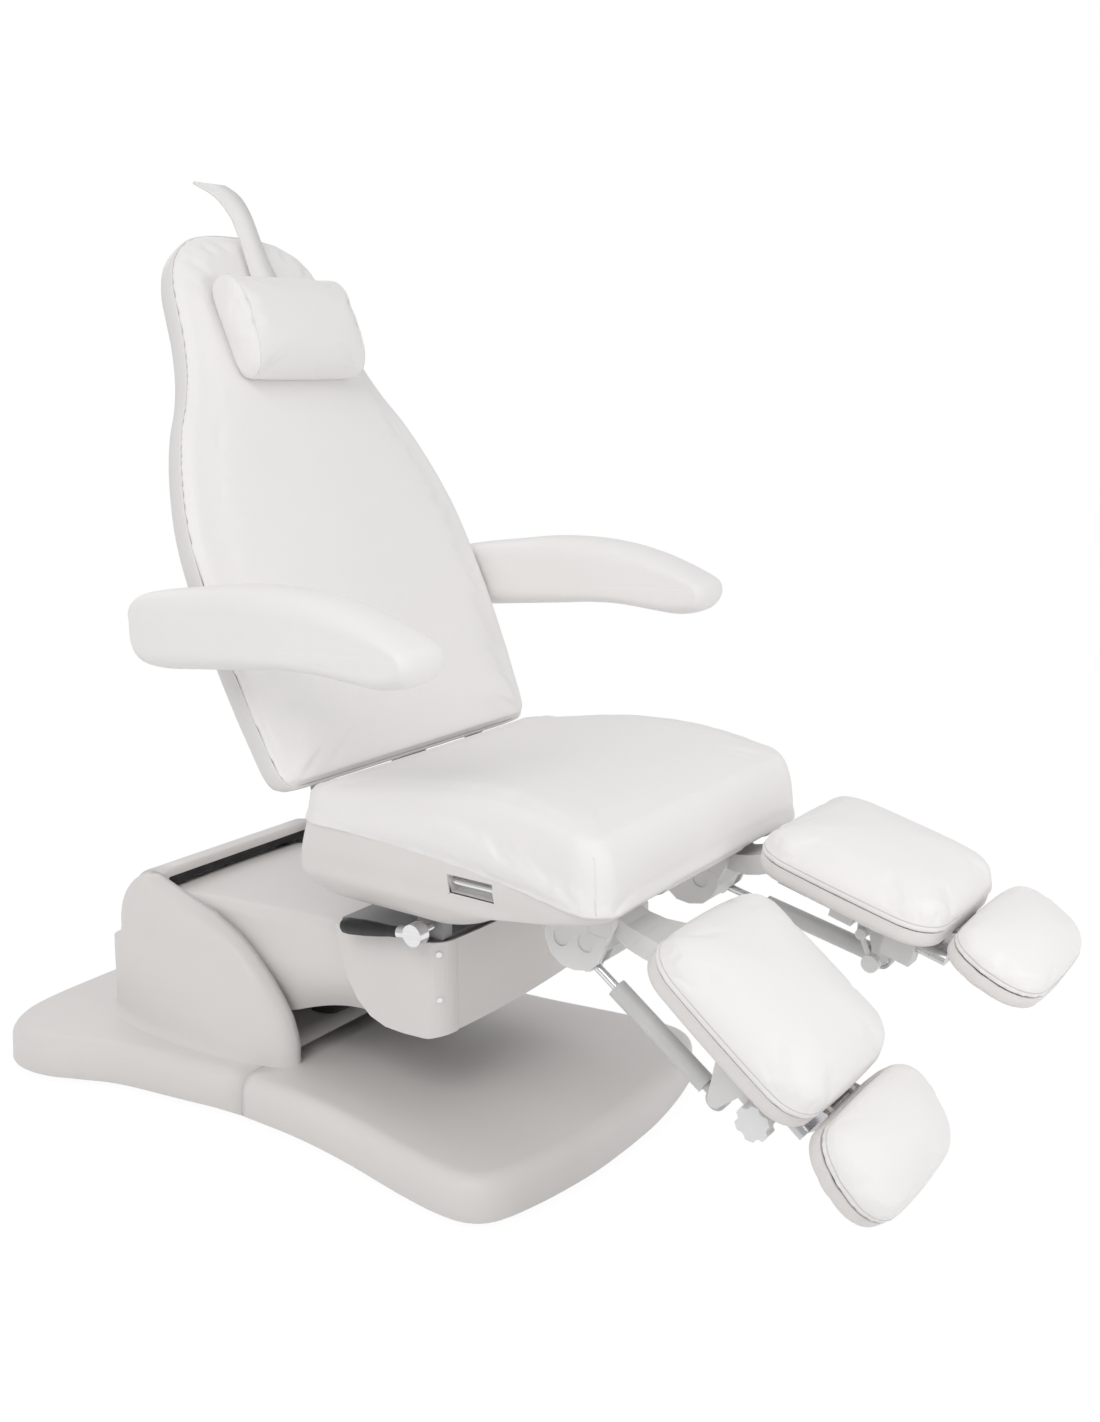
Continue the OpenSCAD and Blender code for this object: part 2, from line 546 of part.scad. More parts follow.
// Turntable: disc and hub in the bearing, ears of the tilt hinge and lugs of the tilt actuator
disc_r = 105;
disc_z = bearing_z + bearing_h + 0.3;
disc_t = 8;
tilt_t = [100, column_top + 87];
tilt_pin_d = 16;
ear_x = 72;
ear_t = 10;
tilt_m = [40, disc_z + disc_t + 21];
tilt_n = [-165, column_top + 117];
tilt_x = -30;
tilt_pin2_d = 12;
tilt_lug_x = 10;
module turntable() color(steel_c) {
    translate([0, swivel_y, disc_z]) difference() {
        union() {
            cylinder(r = disc_r, h = disc_t);
            translate([0, 0, -bearing_h]) cylinder(r = hub_r, h = bearing_h);
        }
        translate([0, 0, -over * 2]) cylinder(r = 20, h = 3 * over);
    }
    both_sides() {
        side_plate(ear_x, ear_x + ear_t, [[tilt_t.x - 40, disc_z + disc_t], [tilt_t.x + 20, disc_z + disc_t],
            [tilt_t.x + 16, tilt_t.y + 8], [tilt_t.x + 8, tilt_t.y + 16], [tilt_t.x - 8, tilt_t.y + 16],
            [tilt_t.x - 16, tilt_t.y + 8]]);
        cross_pin(tilt_t, tilt_pin_d, ear_x - 12, ear_x);
    }
    for (s = [-1, 1]) translate([tilt_x + s * (tilt_lug_x + 3), 0, 0])
        side_plate(-3, 3, [[tilt_m.x - 18, disc_z + disc_t], [tilt_m.x + 18, disc_z + disc_t],
            [tilt_m.x + 9, tilt_m.y + 9], [tilt_m.x - 9, tilt_m.y + 9]]);
    cross_pin(tilt_m, tilt_pin2_d, tilt_x - tilt_lug_x, tilt_x + tilt_lug_x);
}
tilt_l = reach(tilt_m, tilt_n);
tilt_rod_r = 7;
tilt_eye_gap = 1.5;
module tilt_motor() color(motor_c) along(tilt_m, tilt_n, tilt_x)
    actuator_tube(15, 135, tilt_rod_r, tilt_pin2_d / 2, tilt_lug_x - 0.5);
module tilt_rod() color(bright_c) along(tilt_m, tilt_n, tilt_x)
    actuator_rod(tilt_rod_r, 60, tilt_l, tilt_pin2_d / 2 + tilt_eye_gap, tilt_pin2_d / 2 + tilt_eye_gap + 5, 9);

// Seat frame: rails under the cushion, lugs of the tilt hinge and of the back's hinge
rail_z = seat_z - 36;
rail_top = seat_z - soft_gap;
srail_x = 150;
srail_w = 30;
back_k = [seat_len + 43 - seat_front, seat_z + 6];
k_pin_d = 16;
k_lug_x = 172;
k_lug_t = 11.5;
back_rod_x = 30;
back_p = [-80, seat_z - 63];
back_pin_d = 12;
leg_h = [60 - seat_front, seat_z - 81];
leg_x = leg_w / 2 + 11;
module seat_frame() color(steel_c) {
    both_sides() {
        block(srail_x, srail_x + srail_w, leg_h.x + 25, 150, rail_z, rail_top);
        difference() {
            side_plate(k_lug_x, k_lug_x + k_lug_t, [[110, rail_z + 4], [back_k.x, back_k.y - 14],
                [back_k.x + 10, back_k.y - 10], [back_k.x + 14, back_k.y], [back_k.x + 10, back_k.y + 10],
                [back_k.x, back_k.y + 14], [back_k.x - 14, back_k.y + 12], [back_k.x - 38, rail_top], [110, rail_top]]);
            cross_pin(back_k, k_pin_d + 2 * run_gap, k_lug_x - 1, k_lug_x + k_lug_t + 1);
        }
        difference() {
            side_plate(ear_x - 11, ear_x - 0.5, [[tilt_t.x - 30, rail_z + 10], [tilt_t.x - 14, tilt_t.y],
                [tilt_t.x - 10, tilt_t.y - 10], [tilt_t.x, tilt_t.y - 14], [tilt_t.x + 10, tilt_t.y - 10],
                [tilt_t.x + 14, tilt_t.y], [tilt_t.x + 30, rail_z + 10]]);
            cross_pin(tilt_t, tilt_pin_d + 2 * run_gap, ear_x - over, ear_x + 1);
        }
    }
    for (y = [leg_h.x + 25, tilt_n.x - 15, tilt_t.x - 30, 120])
        block(-srail_x, srail_x, y, y + srail_w, rail_z, rail_top);
    block(-srail_x, srail_x, tilt_t.x, tilt_t.x + 30, rail_z, rail_top);
    for (s = [-1, 1]) translate([tilt_x + s * 13, 0, 0])
        side_plate(-3, 3, [[tilt_n.x - 12, rail_z + 2], [tilt_n.x - 9, tilt_n.y - 9], [tilt_n.x + 9, tilt_n.y - 9],
            [tilt_n.x + 12, rail_z + 2]]);
    cross_pin(tilt_n, tilt_pin2_d, tilt_x - 11, tilt_x + 11);
    for (s = [-1, 1]) translate([back_rod_x + s * 16, 0, 0])
        side_plate(-3, 3, [[back_p.x - 14, tilt_n.y + 48], [back_p.x - 10, back_p.y - 10],
            [back_p.x + 10, back_p.y - 10], [back_p.x + 14, tilt_n.y + 48]]);
    block(-srail_x, srail_x, back_p.x - 15, back_p.x + 15, rail_z, rail_top);
    cross_pin(back_p, back_pin_d, back_rod_x - 14, back_rod_x + 14);
}

// Seat pan: a moulded tray under the seat, open below the swivel
pan_levels = [[rail_top, 300, -372, 160], [505, 292, -366, 170], [478, 283, -335, 181], [452, 275, -205, 187],
    [424, 244, -128, 189], [400, 207, -96, 189]];
pan_scale_z = seat_z / 541;
function pan_ring(l, d) = at_z(round_rect(l[1] * seat_w / 600 - d, l[2] * seat_front / 375 + d,
    (l[3] - d), 60, 40, 0, 5, 3), l[0] == rail_top ? rail_top : l[0] * pan_scale_z);
pan_hole = [130, -86, 176];
module seat_pan() color(plastic_c) difference() {
    n = len(pan_levels);
    bottom = 396 * pan_scale_z;
    hole = round_rect(pan_hole.x, pan_hole.y, pan_hole.z, 30, 30, 0, 5, 3);
    union() {
        skin(concat(
            [at_z(hole, bottom)],
            [for (i = [n - 1:-1:0]) pan_ring(pan_levels[i], 0)],
            [for (i = [0:n - 2]) pan_ring(pan_levels[i], wall)],
            [at_z(inset_ring(pan_ring(pan_levels[n - 1], wall), 2), bottom + wall)],
            [at_z(hole, bottom + wall)]
        ), "loop");
        both_sides() for (y = [-208, -124]) block(266, 289, y, y + 8, 490, 514);
    }
    block(-205, 205, 150, 205, 440, seat_z + over);
    both_sides() {
        block(262, 320, -200, -124, 487, 515);
        cross_pin(leg_h, 2 * barrel_r + 7, leg_x - barrel_w - 16, leg_x + barrel_w + 16);
        translate([leg_x, leg_h.x + 55, 380]) cylinder(d = bracket_post_d + 1, h = 120);
    }
}
module seat_side_bars() color(bright_c) both_sides() {
    translate([279, -200, 502]) rotate([-90, 0, 0]) cylinder(d = 10, h = 76);
}

// Seat cushion with a raised front and a shallow dish
function seat_height(t) = seat_t - 6 + (seat_t * 0.66) * sin(180 * pow(t, 1.3));
function seat_dish(x, t) = 14 * (1 - pow(x / (seat_w / 2), 2)) * min(1, 3 * t) * (1 - pow(t, 3));
function seat_ring(o, drop, k) = [for (p = o) let (t = max(0, min(1, (seat_len - seat_front - p.y) / seat_len)))
    [p.x, p.y, seat_z + seat_height(t) * (1 - drop) - k * seat_dish(p.x, t)]];
module seat_cushion() color(vinyl_c) {
    o = round_rect(seat_w / 2, -seat_front, seat_len - seat_front, 90, 55, 4, 7, 5);
    c = [0, seat_len / 2 - seat_front];
    e = 26;
    inner = inset_ring(o, e);
    skin(concat(
        [at_z(inset_ring(o, 5), seat_z), at_z(o, seat_z + 6)],
        [seat_ring(o, 0.62, 0), seat_ring(inset_ring(o, 3), 0.4, 0), seat_ring(inset_ring(o, 10), 0.16, 0),
            seat_ring(inset_ring(o, 18), 0.04, 0.1), seat_ring(inner, 0, 0.2)],
        [for (k = [0.85, 0.65, 0.4]) seat_ring(shrink_ring(inner, c, k), 0, 1)]
    ), "fan", [c.x, c.y, seat_z], [c.x, c.y, seat_z + seat_height(0.5) - seat_dish(0, 0.5)]);
}

// Leg brackets: castings under the seat's front corners, with the fork of the leg's hinge
bracket_post_d = 30;
hinge_d = 16;
barrel_r = 17;
barrel_w = 35;
strut_x = 30;
strut_pin_d = 10;
strut_s0 = leg_h + [24.5, -67];
function leg_side(s) = s * leg_x;
module leg_bracket(s) color(plastic_c) translate([leg_side(s), 0, 0]) difference() {
    union() {
        side_plate(-barrel_w - 11, barrel_w + 11, [[leg_h.x + 93, leg_h.y - 11], [leg_h.x + 93, leg_h.y - 40],
            [leg_h.x + 84, leg_h.y - 62], [leg_h.x + 66, leg_h.y - 76], [leg_h.x + 44, leg_h.y - 79],
            [leg_h.x + 20, leg_h.y - 74], [leg_h.x + 4, leg_h.y - 60], [leg_h.x - 4, leg_h.y - 42],
            [leg_h.x - 4, leg_h.y - 22], [leg_h.x + 22, leg_h.y - 20], [leg_h.x + 26, leg_h.y + 3],
            [leg_h.x + 86, leg_h.y - 8]]);
        for (e = [-1, 1]) translate([e * (barrel_w + 5.5), 0, 0])
            side_plate(-5, 5, [[leg_h.x + 30, leg_h.y - 1], [leg_h.x + 8, leg_h.y + 15], [leg_h.x, leg_h.y + 17],
                [leg_h.x - 10, leg_h.y + 14], [leg_h.x - 17, leg_h.y + 4], [leg_h.x - 17, leg_h.y - 8],
                [leg_h.x - 4, leg_h.y - 34], [leg_h.x + 34, leg_h.y - 34]]);
        cross_pin(leg_h, hinge_d, -barrel_w - 11, barrel_w + 11);
        translate([0, leg_h.x + 55, leg_h.y]) cylinder(d = bracket_post_d, h = rail_z - leg_h.y);
        for (e = [-1, 1]) translate([s * strut_x + e * 12, 0, 0])
            side_plate(-3.5, 3.5, [[strut_s0.x - 8, strut_s0.y + 10], [strut_s0.x - 10, strut_s0.y],
                [strut_s0.x - 7, strut_s0.y - 8], [strut_s0.x + 2, strut_s0.y - 10], [strut_s0.x + 14, strut_s0.y]]);
        cross_pin(strut_s0, strut_pin_d, s * strut_x - 12, s * strut_x + 12);
    }
    difference() {
        block(s * strut_x - 8.5, s * strut_x + 8.5, strut_s0.x - 40, strut_s0.x + 22, strut_s0.y - 60, strut_s0.y + 24);
        cross_pin(strut_s0, strut_pin_d, -60, 60);
    }
    for (y = [26, 66], e = [-1, 1]) translate([e * (barrel_w + 11), leg_h.x + y, leg_h.y - 36])
        rotate([0, e * 90, 0]) cylinder(r = 13, h = 5, center = true);
}

// Leg rest: place of its frame, with y towards the seat and z out of the cushion
module leg_place(s, tilt) { translate([leg_side(s), leg_h.x, leg_h.y]) rotate([tilt, 0, 0]) children(); }
leg_s0 = 81;
leg_s1 = leg_s0 + leg_len;
leg_n = 80;
plate_n = 50;
strut_s1 = [266, -58];
slide_x = 60;
slide_n = 30;
slide_d = 20;
foot_f = [leg_s1 + 2, 56];
knob_s = 320;
knob_n = 10;
knob_pin_d = 10;
lever_s = [238, -14];
module leg_neck(s, tilt) color(plastic_c) leg_place(s, tilt) difference() {
    union() {
        rotate([0, 90, 0]) cylinder(r = barrel_r, h = 2 * barrel_w, center = true);
        skin([
            for (l = [[-6, -13, 13, 30], [-24, -12, 16, 31], [-48, -6, 27, 34], [-72, 8, 42, 42], [-96, 28, 55, 54],
                [-120, 42, 56, 66], [-150, 49, 56, 72]])
                [[-l[3], l[0], l[1]], [l[3], l[0], l[1]], [l[3], l[0], l[2]], [-l[3], l[0], l[2]]]
        ], "flat");
        block(-75, 75, -340, -140, plate_n, plate_n + 6);
        for (q = [[-235, -200, 16], [-330, -285, 0]], e = [-1, 1])
            block(e * slide_x - 15, e * slide_x + 15, q[0], q[1], q[2], plate_n + 1);
        for (e = [-1, 1]) translate([s * strut_x + e * 13, 0, 0])
            side_plate(-3, 3, [[-200, plate_n + 1], [-300, plate_n + 1], [-strut_s1.x - 9, strut_s1.y - 3],
                [-strut_s1.x, strut_s1.y - 9], [-strut_s1.x + 9, strut_s1.y - 3]]);
        cross_pin([-strut_s1.x, strut_s1.y], strut_pin_d, s * strut_x - 13, s * strut_x + 13);
        translate([-s * 12, 0, 0]) side_plate(-4, 4, [[-215, plate_n + 1], [-270, plate_n + 1],
            [-lever_s.x - 9, lever_s.y], [-lever_s.x, lever_s.y - 9], [-lever_s.x + 9, lever_s.y]]);
    }
    rotate([0, 90, 0]) cylinder(d = hinge_d + 2 * run_gap, h = 3 * barrel_w, center = true);
    for (e = [-1, 1]) translate([e * slide_x, -400, slide_n]) rotate([-90, 0, 0])
        cylinder(d = slide_d + 2 * run_gap, h = 310);
    cross_pin([-knob_s, knob_n], knob_pin_d + 2 * run_gap, s > 0 ? 55 : -80, s > 0 ? 80 : -55);
    cross_pin([-lever_s.x, lever_s.y], 8 + 2 * run_gap, -s * 12 - 5, -s * 12 + 5);
}
function tray_rings(o, z0, z1, r) = [
    at_z(inset_ring(o, r), z0), at_z(inset_ring(o, r * 0.3), z0 + r * 0.3), at_z(o, z0 + r), at_z(o, z1),
    at_z(inset_ring(o, wall), z1), at_z(inset_ring(o, wall), z0 + r),
    at_z(inset_ring(o, wall + r * 0.6), z0 + wall)
];
module leg_shell(s, tilt) color(plastic_c) leg_place(s, tilt) difference() {
    skin(tray_rings(round_rect(leg_w / 2 - 2, -leg_s1 + 2, -leg_s0 - 2, 36, 36, 2, 5, 3), plate_n + 6,
        leg_n - soft_gap, 9));
    both_sides() block(26, 52, -leg_s1 - 2, -leg_s1 + 22, plate_n, plate_n + 20);
}
module leg_cushion(s, tilt) color(vinyl_c) leg_place(s, tilt)
    skin(cushion_rings(round_rect(leg_w / 2, -leg_s1, -leg_s0, 38, 38, 3, 6, 4),
        [0, -leg_s0 - leg_len / 2], leg_n, 42, 24, 10, 3));

// Gas strut between the bracket and the leg: the rod above, the tube below
function leg_point(tilt, p) = leg_h + [-p.x * cos(tilt) - p.y * sin(tilt), -p.x * sin(tilt) + p.y * cos(tilt)];
strut_gap = 6;
module strut_rod(s, tilt) color(bright_c) let (b = leg_point(tilt, strut_s1), l = reach(strut_s0, b))
    along(strut_s0, b, leg_side(s) + s * strut_x) difference() {
        union() {
            rotate([0, 90, 0]) cylinder(r = 10, h = 15, center = true);
            translate([0, 0, 7]) cylinder(r = 6, h = 183);
        }
        rotate([0, 90, 0]) cylinder(d = strut_pin_d + 2 * run_gap, h = 40, center = true);
    }
module strut_tube(s, tilt) color(bright_c) let (b = leg_point(tilt, strut_s1), l = reach(strut_s0, b), e = 5 + strut_gap,
    full = 208)
    along(strut_s0, b, leg_side(s) + s * strut_x) difference() {
        union() {
            translate([0, 0, l - full + 12]) cylinder(r = 14, h = full - 12 - e - 12);
            translate([0, 0, l - e - 16]) cylinder(r = 8, h = 14);
            translate([0, 0, l]) rotate([0, 90, 0]) cylinder(r = e + 4, h = 18, center = true);
        }
        translate([0, 0, l - full]) cylinder(r = 6 + run_gap, h = full - e - 20);
        translate([0, 0, l]) rotate([0, 90, 0]) cylinder(r = e, h = 40, center = true);
    }

// Foot rest: slider, tray and cushion, its clamp knob and its release lever
foot_drop = 14;
foot_pin_d = 12;
module foot_slider(s, tilt) color(bright_c) leg_place(s, tilt) {
    for (e = [-1, 1]) {
        translate([e * slide_x, -foot_f.x, slide_n]) rotate([-90, 0, 0]) cylinder(d = slide_d, h = 260);
        difference() {
            translate([e * 44, 0, 0]) side_plate(-4, 4, [[-foot_f.x + 22, 24], [-foot_f.x + 10, foot_f.y + 6],
                [-foot_f.x, foot_f.y + 11], [-foot_f.x - 9, foot_f.y + 6], [-foot_f.x - 9, foot_f.y - 6],
                [-foot_f.x, 24]]);
        }
    }
    block(-slide_x, slide_x, -foot_f.x, -foot_f.x + 22, 20, 40);
    cross_pin([-foot_f.x, foot_f.y], foot_pin_d, -46, 46);
}
module foot_place(s, tilt) { leg_place(s, tilt) translate([0, -foot_f.x, foot_f.y]) rotate([foot_drop, 0, 0]) children(); }
foot_n = 28;
module foot_shell(s, tilt) color(plastic_c) foot_place(s, tilt) {
    difference() {
        skin(tray_rings(round_rect(leg_w / 2 - 2, 5 - foot_len, 1, 36, 14, 2, 5, 3), 4, foot_n - soft_gap, 9));
        block(-50, 50, -22, over, 0, 21);
    }
    both_sides() difference() {
        side_plate(30, 39.5, [[-50, 5], [-9, -9], [0, -11], [8, -8], [11, 0], [8, 8], [0, 11], [-20, 12], [-50, 8]]);
        cross_pin([0, 0], foot_pin_d + 2 * run_gap, 20, 50);
    }
}
module foot_cushion(s, tilt) color(vinyl_c) foot_place(s, tilt)
    skin(cushion_rings(round_rect(leg_w / 2, 3 - foot_len, 3, 38, 16, 3, 6, 4), [0, 3 - foot_len / 2], foot_n,
        40, 22, 9, 3));
module clamp_knob(s, tilt) color(plastic_c) leg_place(s, tilt) translate([0, -knob_s, knob_n]) mirror([s < 0 ? 1 : 0, 0, 0])
    rotate([0, 90, 0]) {
        difference() {
            translate([0, 0, 82]) cylinder(r = 24, h = 20);
            for (a = [0:60:300]) rotate(a) translate([28, 0, 80]) cylinder(r = 8, h = 24);
        }
        translate([0, 0, 76]) cylinder(r = 12, h = 8);
        translate([0, 0, 56]) cylinder(d = knob_pin_d, h = 22);
    }
module foot_lever(s, tilt) color(plastic_c) leg_place(s, tilt) translate([0, -lever_s.x, lever_s.y]) {
    cross_pin([0, 0], 8, -s * 12 - 12, -s * 12 + 12);
    translate([-s * 12 - s * 9, 0, 0]) {
        rotate([0, 90, 0]) cylinder(r = 8, h = 8, center = true);
        rotate([52, 0, 0]) translate([0, -1.5, 0]) rotate([90, 0, 0]) cylinder(r = 4, h = 34);
        rotate([52, 0, 0]) translate([0, -44, 0]) rotate([0, 90, 0]) cylinder(r = 13, h = 14, center = true);
    }
}

// Back: its frame x across, y up the back and z out of the cushion
back_o = [0, seat_len - seat_front + 11, seat_z + 43];
module back_place() { translate(back_o) rotate([90 - recline, 0, 0]) children(); }
function back_local(p) = let (d = p - [back_o.y, back_o.z])
    [d.x * sin(recline) + d.y * cos(recline), -d.x * cos(recline) + d.y * sin(recline)];
back_half_shares = [[0, 0], [0.3, 0], [0.62, 0.002], [0.85, 0.018], [0.96, 0.058], [1, 0.13], [1, 0.23], [1, 0.33],
    [0.985, 0.42], [0.95, 0.487], [0.88, 0.565], [0.795, 0.632], [0.7, 0.687], [0.632, 0.74], [0.582, 0.8],
    [0.548, 0.87], [0.525, 0.925], [0.445, 0.972], [0.28, 0.996], [0, 1]];
back_half = [for (p = curve([for (q = back_half_shares) [q.x * back_w / 2, q.y * back_len]], 2)) p];
back_ring = mirrored_half(back_half);
back_c = [0, back_len * 0.45];
arm_u = [armrest_len - 210, seat_z + 277];
arm_l = back_local(arm_u);
stub_d = 26;
stub_len = 36;
boss_d = 38;
k_l = back_local(back_k);
back_q = back_k + 77 * [sin(27), -cos(27)];
q_l = back_local(back_q);
module back_frame() color(steel_c) back_place() {
    both_sides() {
        block(110, 140, 20, 700, -40, -8);
        difference() {
            side_plate(184, 195, [[44, -38], [44, -12], [14, -12], [k_l.x - 6, k_l.y + 13], [k_l.x - 13, k_l.y + 5],
                [k_l.x - 13, k_l.y - 7], [k_l.x - 3, k_l.y - 14], [k_l.x + 9, k_l.y - 12]]);
            cross_pin(k_l, k_pin_d + 2 * run_gap, 180, 200);
        }
        difference() {
            cross_pin(arm_l, boss_d, back_w / 2 - 58, back_w / 2 + 4);
            cross_pin(arm_l, stub_d + 2 * run_gap, back_w / 2 - 36, back_w / 2 + over);
        }
    }
    block(-200, 200, 20, 50, -40, -8);
    block(-back_w / 2 + 57, back_w / 2 - 57, arm_l.x - 15, arm_l.x + 15, -40, -8);
    block(-125, 125, 660, 690, -40, -8);
    for (e = [-1, 1]) translate([back_rod_x + e * 16, 0, 0])
        side_plate(-3, 3, [[44, -36], [30, -10], [10, -10], [q_l.x - 10, q_l.y + 2], [q_l.x - 4, q_l.y - 10],
            [q_l.x + 10, q_l.y - 8]]);
    cross_pin(q_l, back_pin_d, back_rod_x - 14, back_rod_x + 14);
}
module back_hinge_pins() color(bright_c) both_sides() {
    cross_pin(back_k, k_pin_d, k_lug_x - 4, 199);
    cross_pin(back_k, k_pin_d + 8, 196, 200);
}
function shell_rings(d) = [for (l = [[-shell_depth, 44], [3 - shell_depth, 26], [10 - shell_depth, 11],
    [24 - shell_depth, 2.5], [38 - shell_depth, 0], [-2.3, 0]]) at_z(inset_ring(back_ring, l[1] + d), l[0])];
module back_shell() color(plastic_c) back_place() difference() {
    r = shell_rings(0);
    q = shell_rings(wall);
    lift = [1, 0.8, 0.4, 0, 0, 0];
    skin(concat(r, [for (i = [5:-1:0]) [for (p = q[i]) p + [0, 0, wall * lift[i]]]]), "fan",
        [back_c.x, back_c.y, -shell_depth], [back_c.x, back_c.y, wall - shell_depth]);
    both_sides() {
        block(181, 203, -20, 34, -60, -8);
        cross_pin(arm_l, boss_d + 2 * soft_gap, back_w / 2 - 60, back_w / 2 + over);
    }
    block(back_rod_x - 24, back_rod_x + 24, -20, 34, -60, -6);
}
module back_cushion() color(vinyl_c) back_place()
    skin(cushion_rings(back_ring, back_c, -2, back_t, 18, 9, 3));
back_l = reach(back_p, back_q);
back_rod_r = 9;
back_eye_gap = 6.8;
module back_motor() color(motor_c) along(back_p, back_q, back_rod_x) {
    actuator_tube(18, 212, back_rod_r, back_pin_d / 2, 12.5);
    translate([0, 0, 20]) block(-12, 12, back_rod_r + 2, 28, 0, 60);
}
module back_rod() color(bright_c) along(back_p, back_q, back_rod_x)
    actuator_rod(back_rod_r, 122, back_l, back_pin_d / 2 + back_eye_gap, back_pin_d / 2 + back_eye_gap + 5, 11);

// Head pillow and its strap
pillow_c = [0, 700, 27.6];
module head_pillow() color(vinyl_c) back_place() translate(pillow_c) {
    skin([for (q = [[16, 0], [6, 6], [1, 18], [0, 34], [3, 52], [10, 66], [22, 76], [38, 82], [56, 85]])
        [for (p = round_rect(130 - q[0], q[0] - 85, 85 - q[0], max(24 - q[0], 8), max(24 - q[0], 8), 2, 6, 4))
            [p.x, p.y, q[1] * (0.72 + 0.28 * p.y / 85)]]],
        "fan", [0, 0, 0], [0, 0, 62]);
}
strap_w = 56;
strap_t = 3;
strap_path = [[778.9, 35], [800, 34], [830, 33], [870, 33], [906, 31], [945, 18], [981, -10]];
module pillow_strap() color(vinyl_c) back_place() {
    p = curve(strap_path, 2);
    skin([for (i = [0:len(p) - 1]) let (a = p[max(i - 1, 0)], b = p[min(i + 1, len(p) - 1)], t = (b - a) / norm(b - a),
        q = [-t.y, t.x] * strap_t / 2)
        [for (e = [[-1, -1], [-1, 1], [1, 1], [1, -1]]) [e.x * strap_w / 2, p[i].x + e.y * q.x, p[i].y + e.y * q.y]]],
        "flat");
}

// Armrests: outlines in depth and height, from the front round the underside to the rear
arm_rear = armrest_len - 161;
function arm_pt(y, z) = [arm_rear - (361 - y) * armrest_len / 577, seat_z + z - 541];
arm_base_line = [for (q = [[-206, 826], [-208, 810], [-200, 796], [-152, 781], [-110, 783], [-34, 788], [40, 786],
    [111, 779], [220, 769], [310, 764], [342, 770], [353, 788], [354, 832]]) arm_pt(q[0], q[1])];
arm_pad_line = [for (q = [[-209, 827], [354, 833], [359, 848], [350, 864], [300, 876], [210, 887], [130, 895],
    [40, 897], [-37, 891], [-100, 879], [-150, 864], [-186, 850], [-205, 840], [-214, 833]]) arm_pt(q[0], q[1])];
// Rings across an armrest: its outline lowered towards the seam and drawn in at both ends
arm_seam = [arm_pt(-209, 826.5), arm_pt(354, 832.5)];
function seam_z(y) = arm_seam[0].y + (y - arm_seam[0].x) * (arm_seam[1].y - arm_seam[0].y)
    / (arm_seam[1].x - arm_seam[0].x);
function side_rings(o, x0, x1, d, edge, p, n) = let (c = (arm_seam[0].x + arm_seam[1].x) / 2)
    [for (i = [0:n]) let (t = -cos(180 * i / n), f = pow(max(0, 1 - pow(abs(t), p)), 1 / p),
        g = edge + (1 - edge) * f, k = 1 - 2 * d * (1 - f) / armrest_len, x = (x0 + x1) / 2 + t * (x1 - x0) / 2)
        [for (q = o) [x, c + (q.x - c) * k, seam_z(q.x) + (q.y - seam_z(q.x)) * g]]];
arm_x0 = armrest_gap / 2;
module mirror_to(s) { mirror([s < 0 ? 1 : 0, 0, 0]) children(); }
module armrest_base(s) color(plastic_c) mirror_to(s) {
    skin(side_rings(arm_base_line, arm_x0 + 3, arm_x0 + armrest_w - 3, 8, 0.55, 2.4, 8));
    cross_pin(arm_u, stub_d, back_w / 2 - 34, arm_x0 + 20);
    cross_pin(arm_u, stub_d + 12, back_w / 2 + 5, arm_x0 - 0.5);
}
module armrest_pad(s) color(vinyl_c) mirror_to(s)
    skin(side_rings(arm_pad_line, arm_x0, arm_x0 + armrest_w, 12, 0.42, 2.4, 10));

base_frame();
base_feet();
front_base_cover();
rear_base_cover();
lift_housing();
lift_pins();
lift_arm();
arm_cover();
tie_link();
lift_motor();
lift_rod();
carrier_head();
carrier_pins();
column_cover();
column_panel();
column_screws();
swivel_bearing();
lever_rod();
lever_grip();
turntable();
tilt_motor();
tilt_rod();
seat_frame();
seat_pan();
seat_cushion();
seat_side_bars();
leg_bracket(-1);  // leg_bracket_right
leg_bracket(1);  // leg_bracket_left
back_motor();
back_rod();
back_hinge_pins();
back_frame();
back_shell();
back_cushion();
head_pillow();
pillow_strap();
armrest_base(-1);  // armrest_base_right
armrest_base(1);  // armrest_base_left
armrest_pad(-1);  // armrest_pad_right
armrest_pad(1);  // armrest_pad_left
leg_neck(-1, right_tilt);  // leg_neck_right
leg_neck(1, left_tilt);  // leg_neck_left
leg_shell(-1, right_tilt);  // leg_shell_right
leg_shell(1, left_tilt);  // leg_shell_left
leg_cushion(-1, right_tilt);  // leg_cushion_right
leg_cushion(1, left_tilt);  // leg_cushion_left
strut_rod(-1, right_tilt);  // strut_rod_right
strut_rod(1, left_tilt);  // strut_rod_left
strut_tube(-1, right_tilt);  // strut_tube_right
strut_tube(1, left_tilt);  // strut_tube_left
foot_slider(-1, right_tilt);  // foot_slider_right
foot_slider(1, left_tilt);  // foot_slider_left
foot_shell(-1, right_tilt);  // foot_shell_right
foot_shell(1, left_tilt);  // foot_shell_left
foot_cushion(-1, right_tilt);  // foot_cushion_right
foot_cushion(1, left_tilt);  // foot_cushion_left
clamp_knob(-1, right_tilt);  // clamp_knob_right
clamp_knob(1, left_tilt);  // clamp_knob_left
foot_lever(-1, right_tilt);  // foot_lever_right
foot_lever(1, left_tilt);  // foot_lever_left
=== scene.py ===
"""Podiatry chair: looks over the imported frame, in metres.

The frame gives the mechanism. The covers, cushions, pads and straps are rebuilt here as smooth pieces
from the same named sizes, and every surface gets a node material.
"""
import math

import bmesh
import bpy
import numpy as np
from mathutils import Matrix, Vector
from mathutils.bvhtree import BVHTree


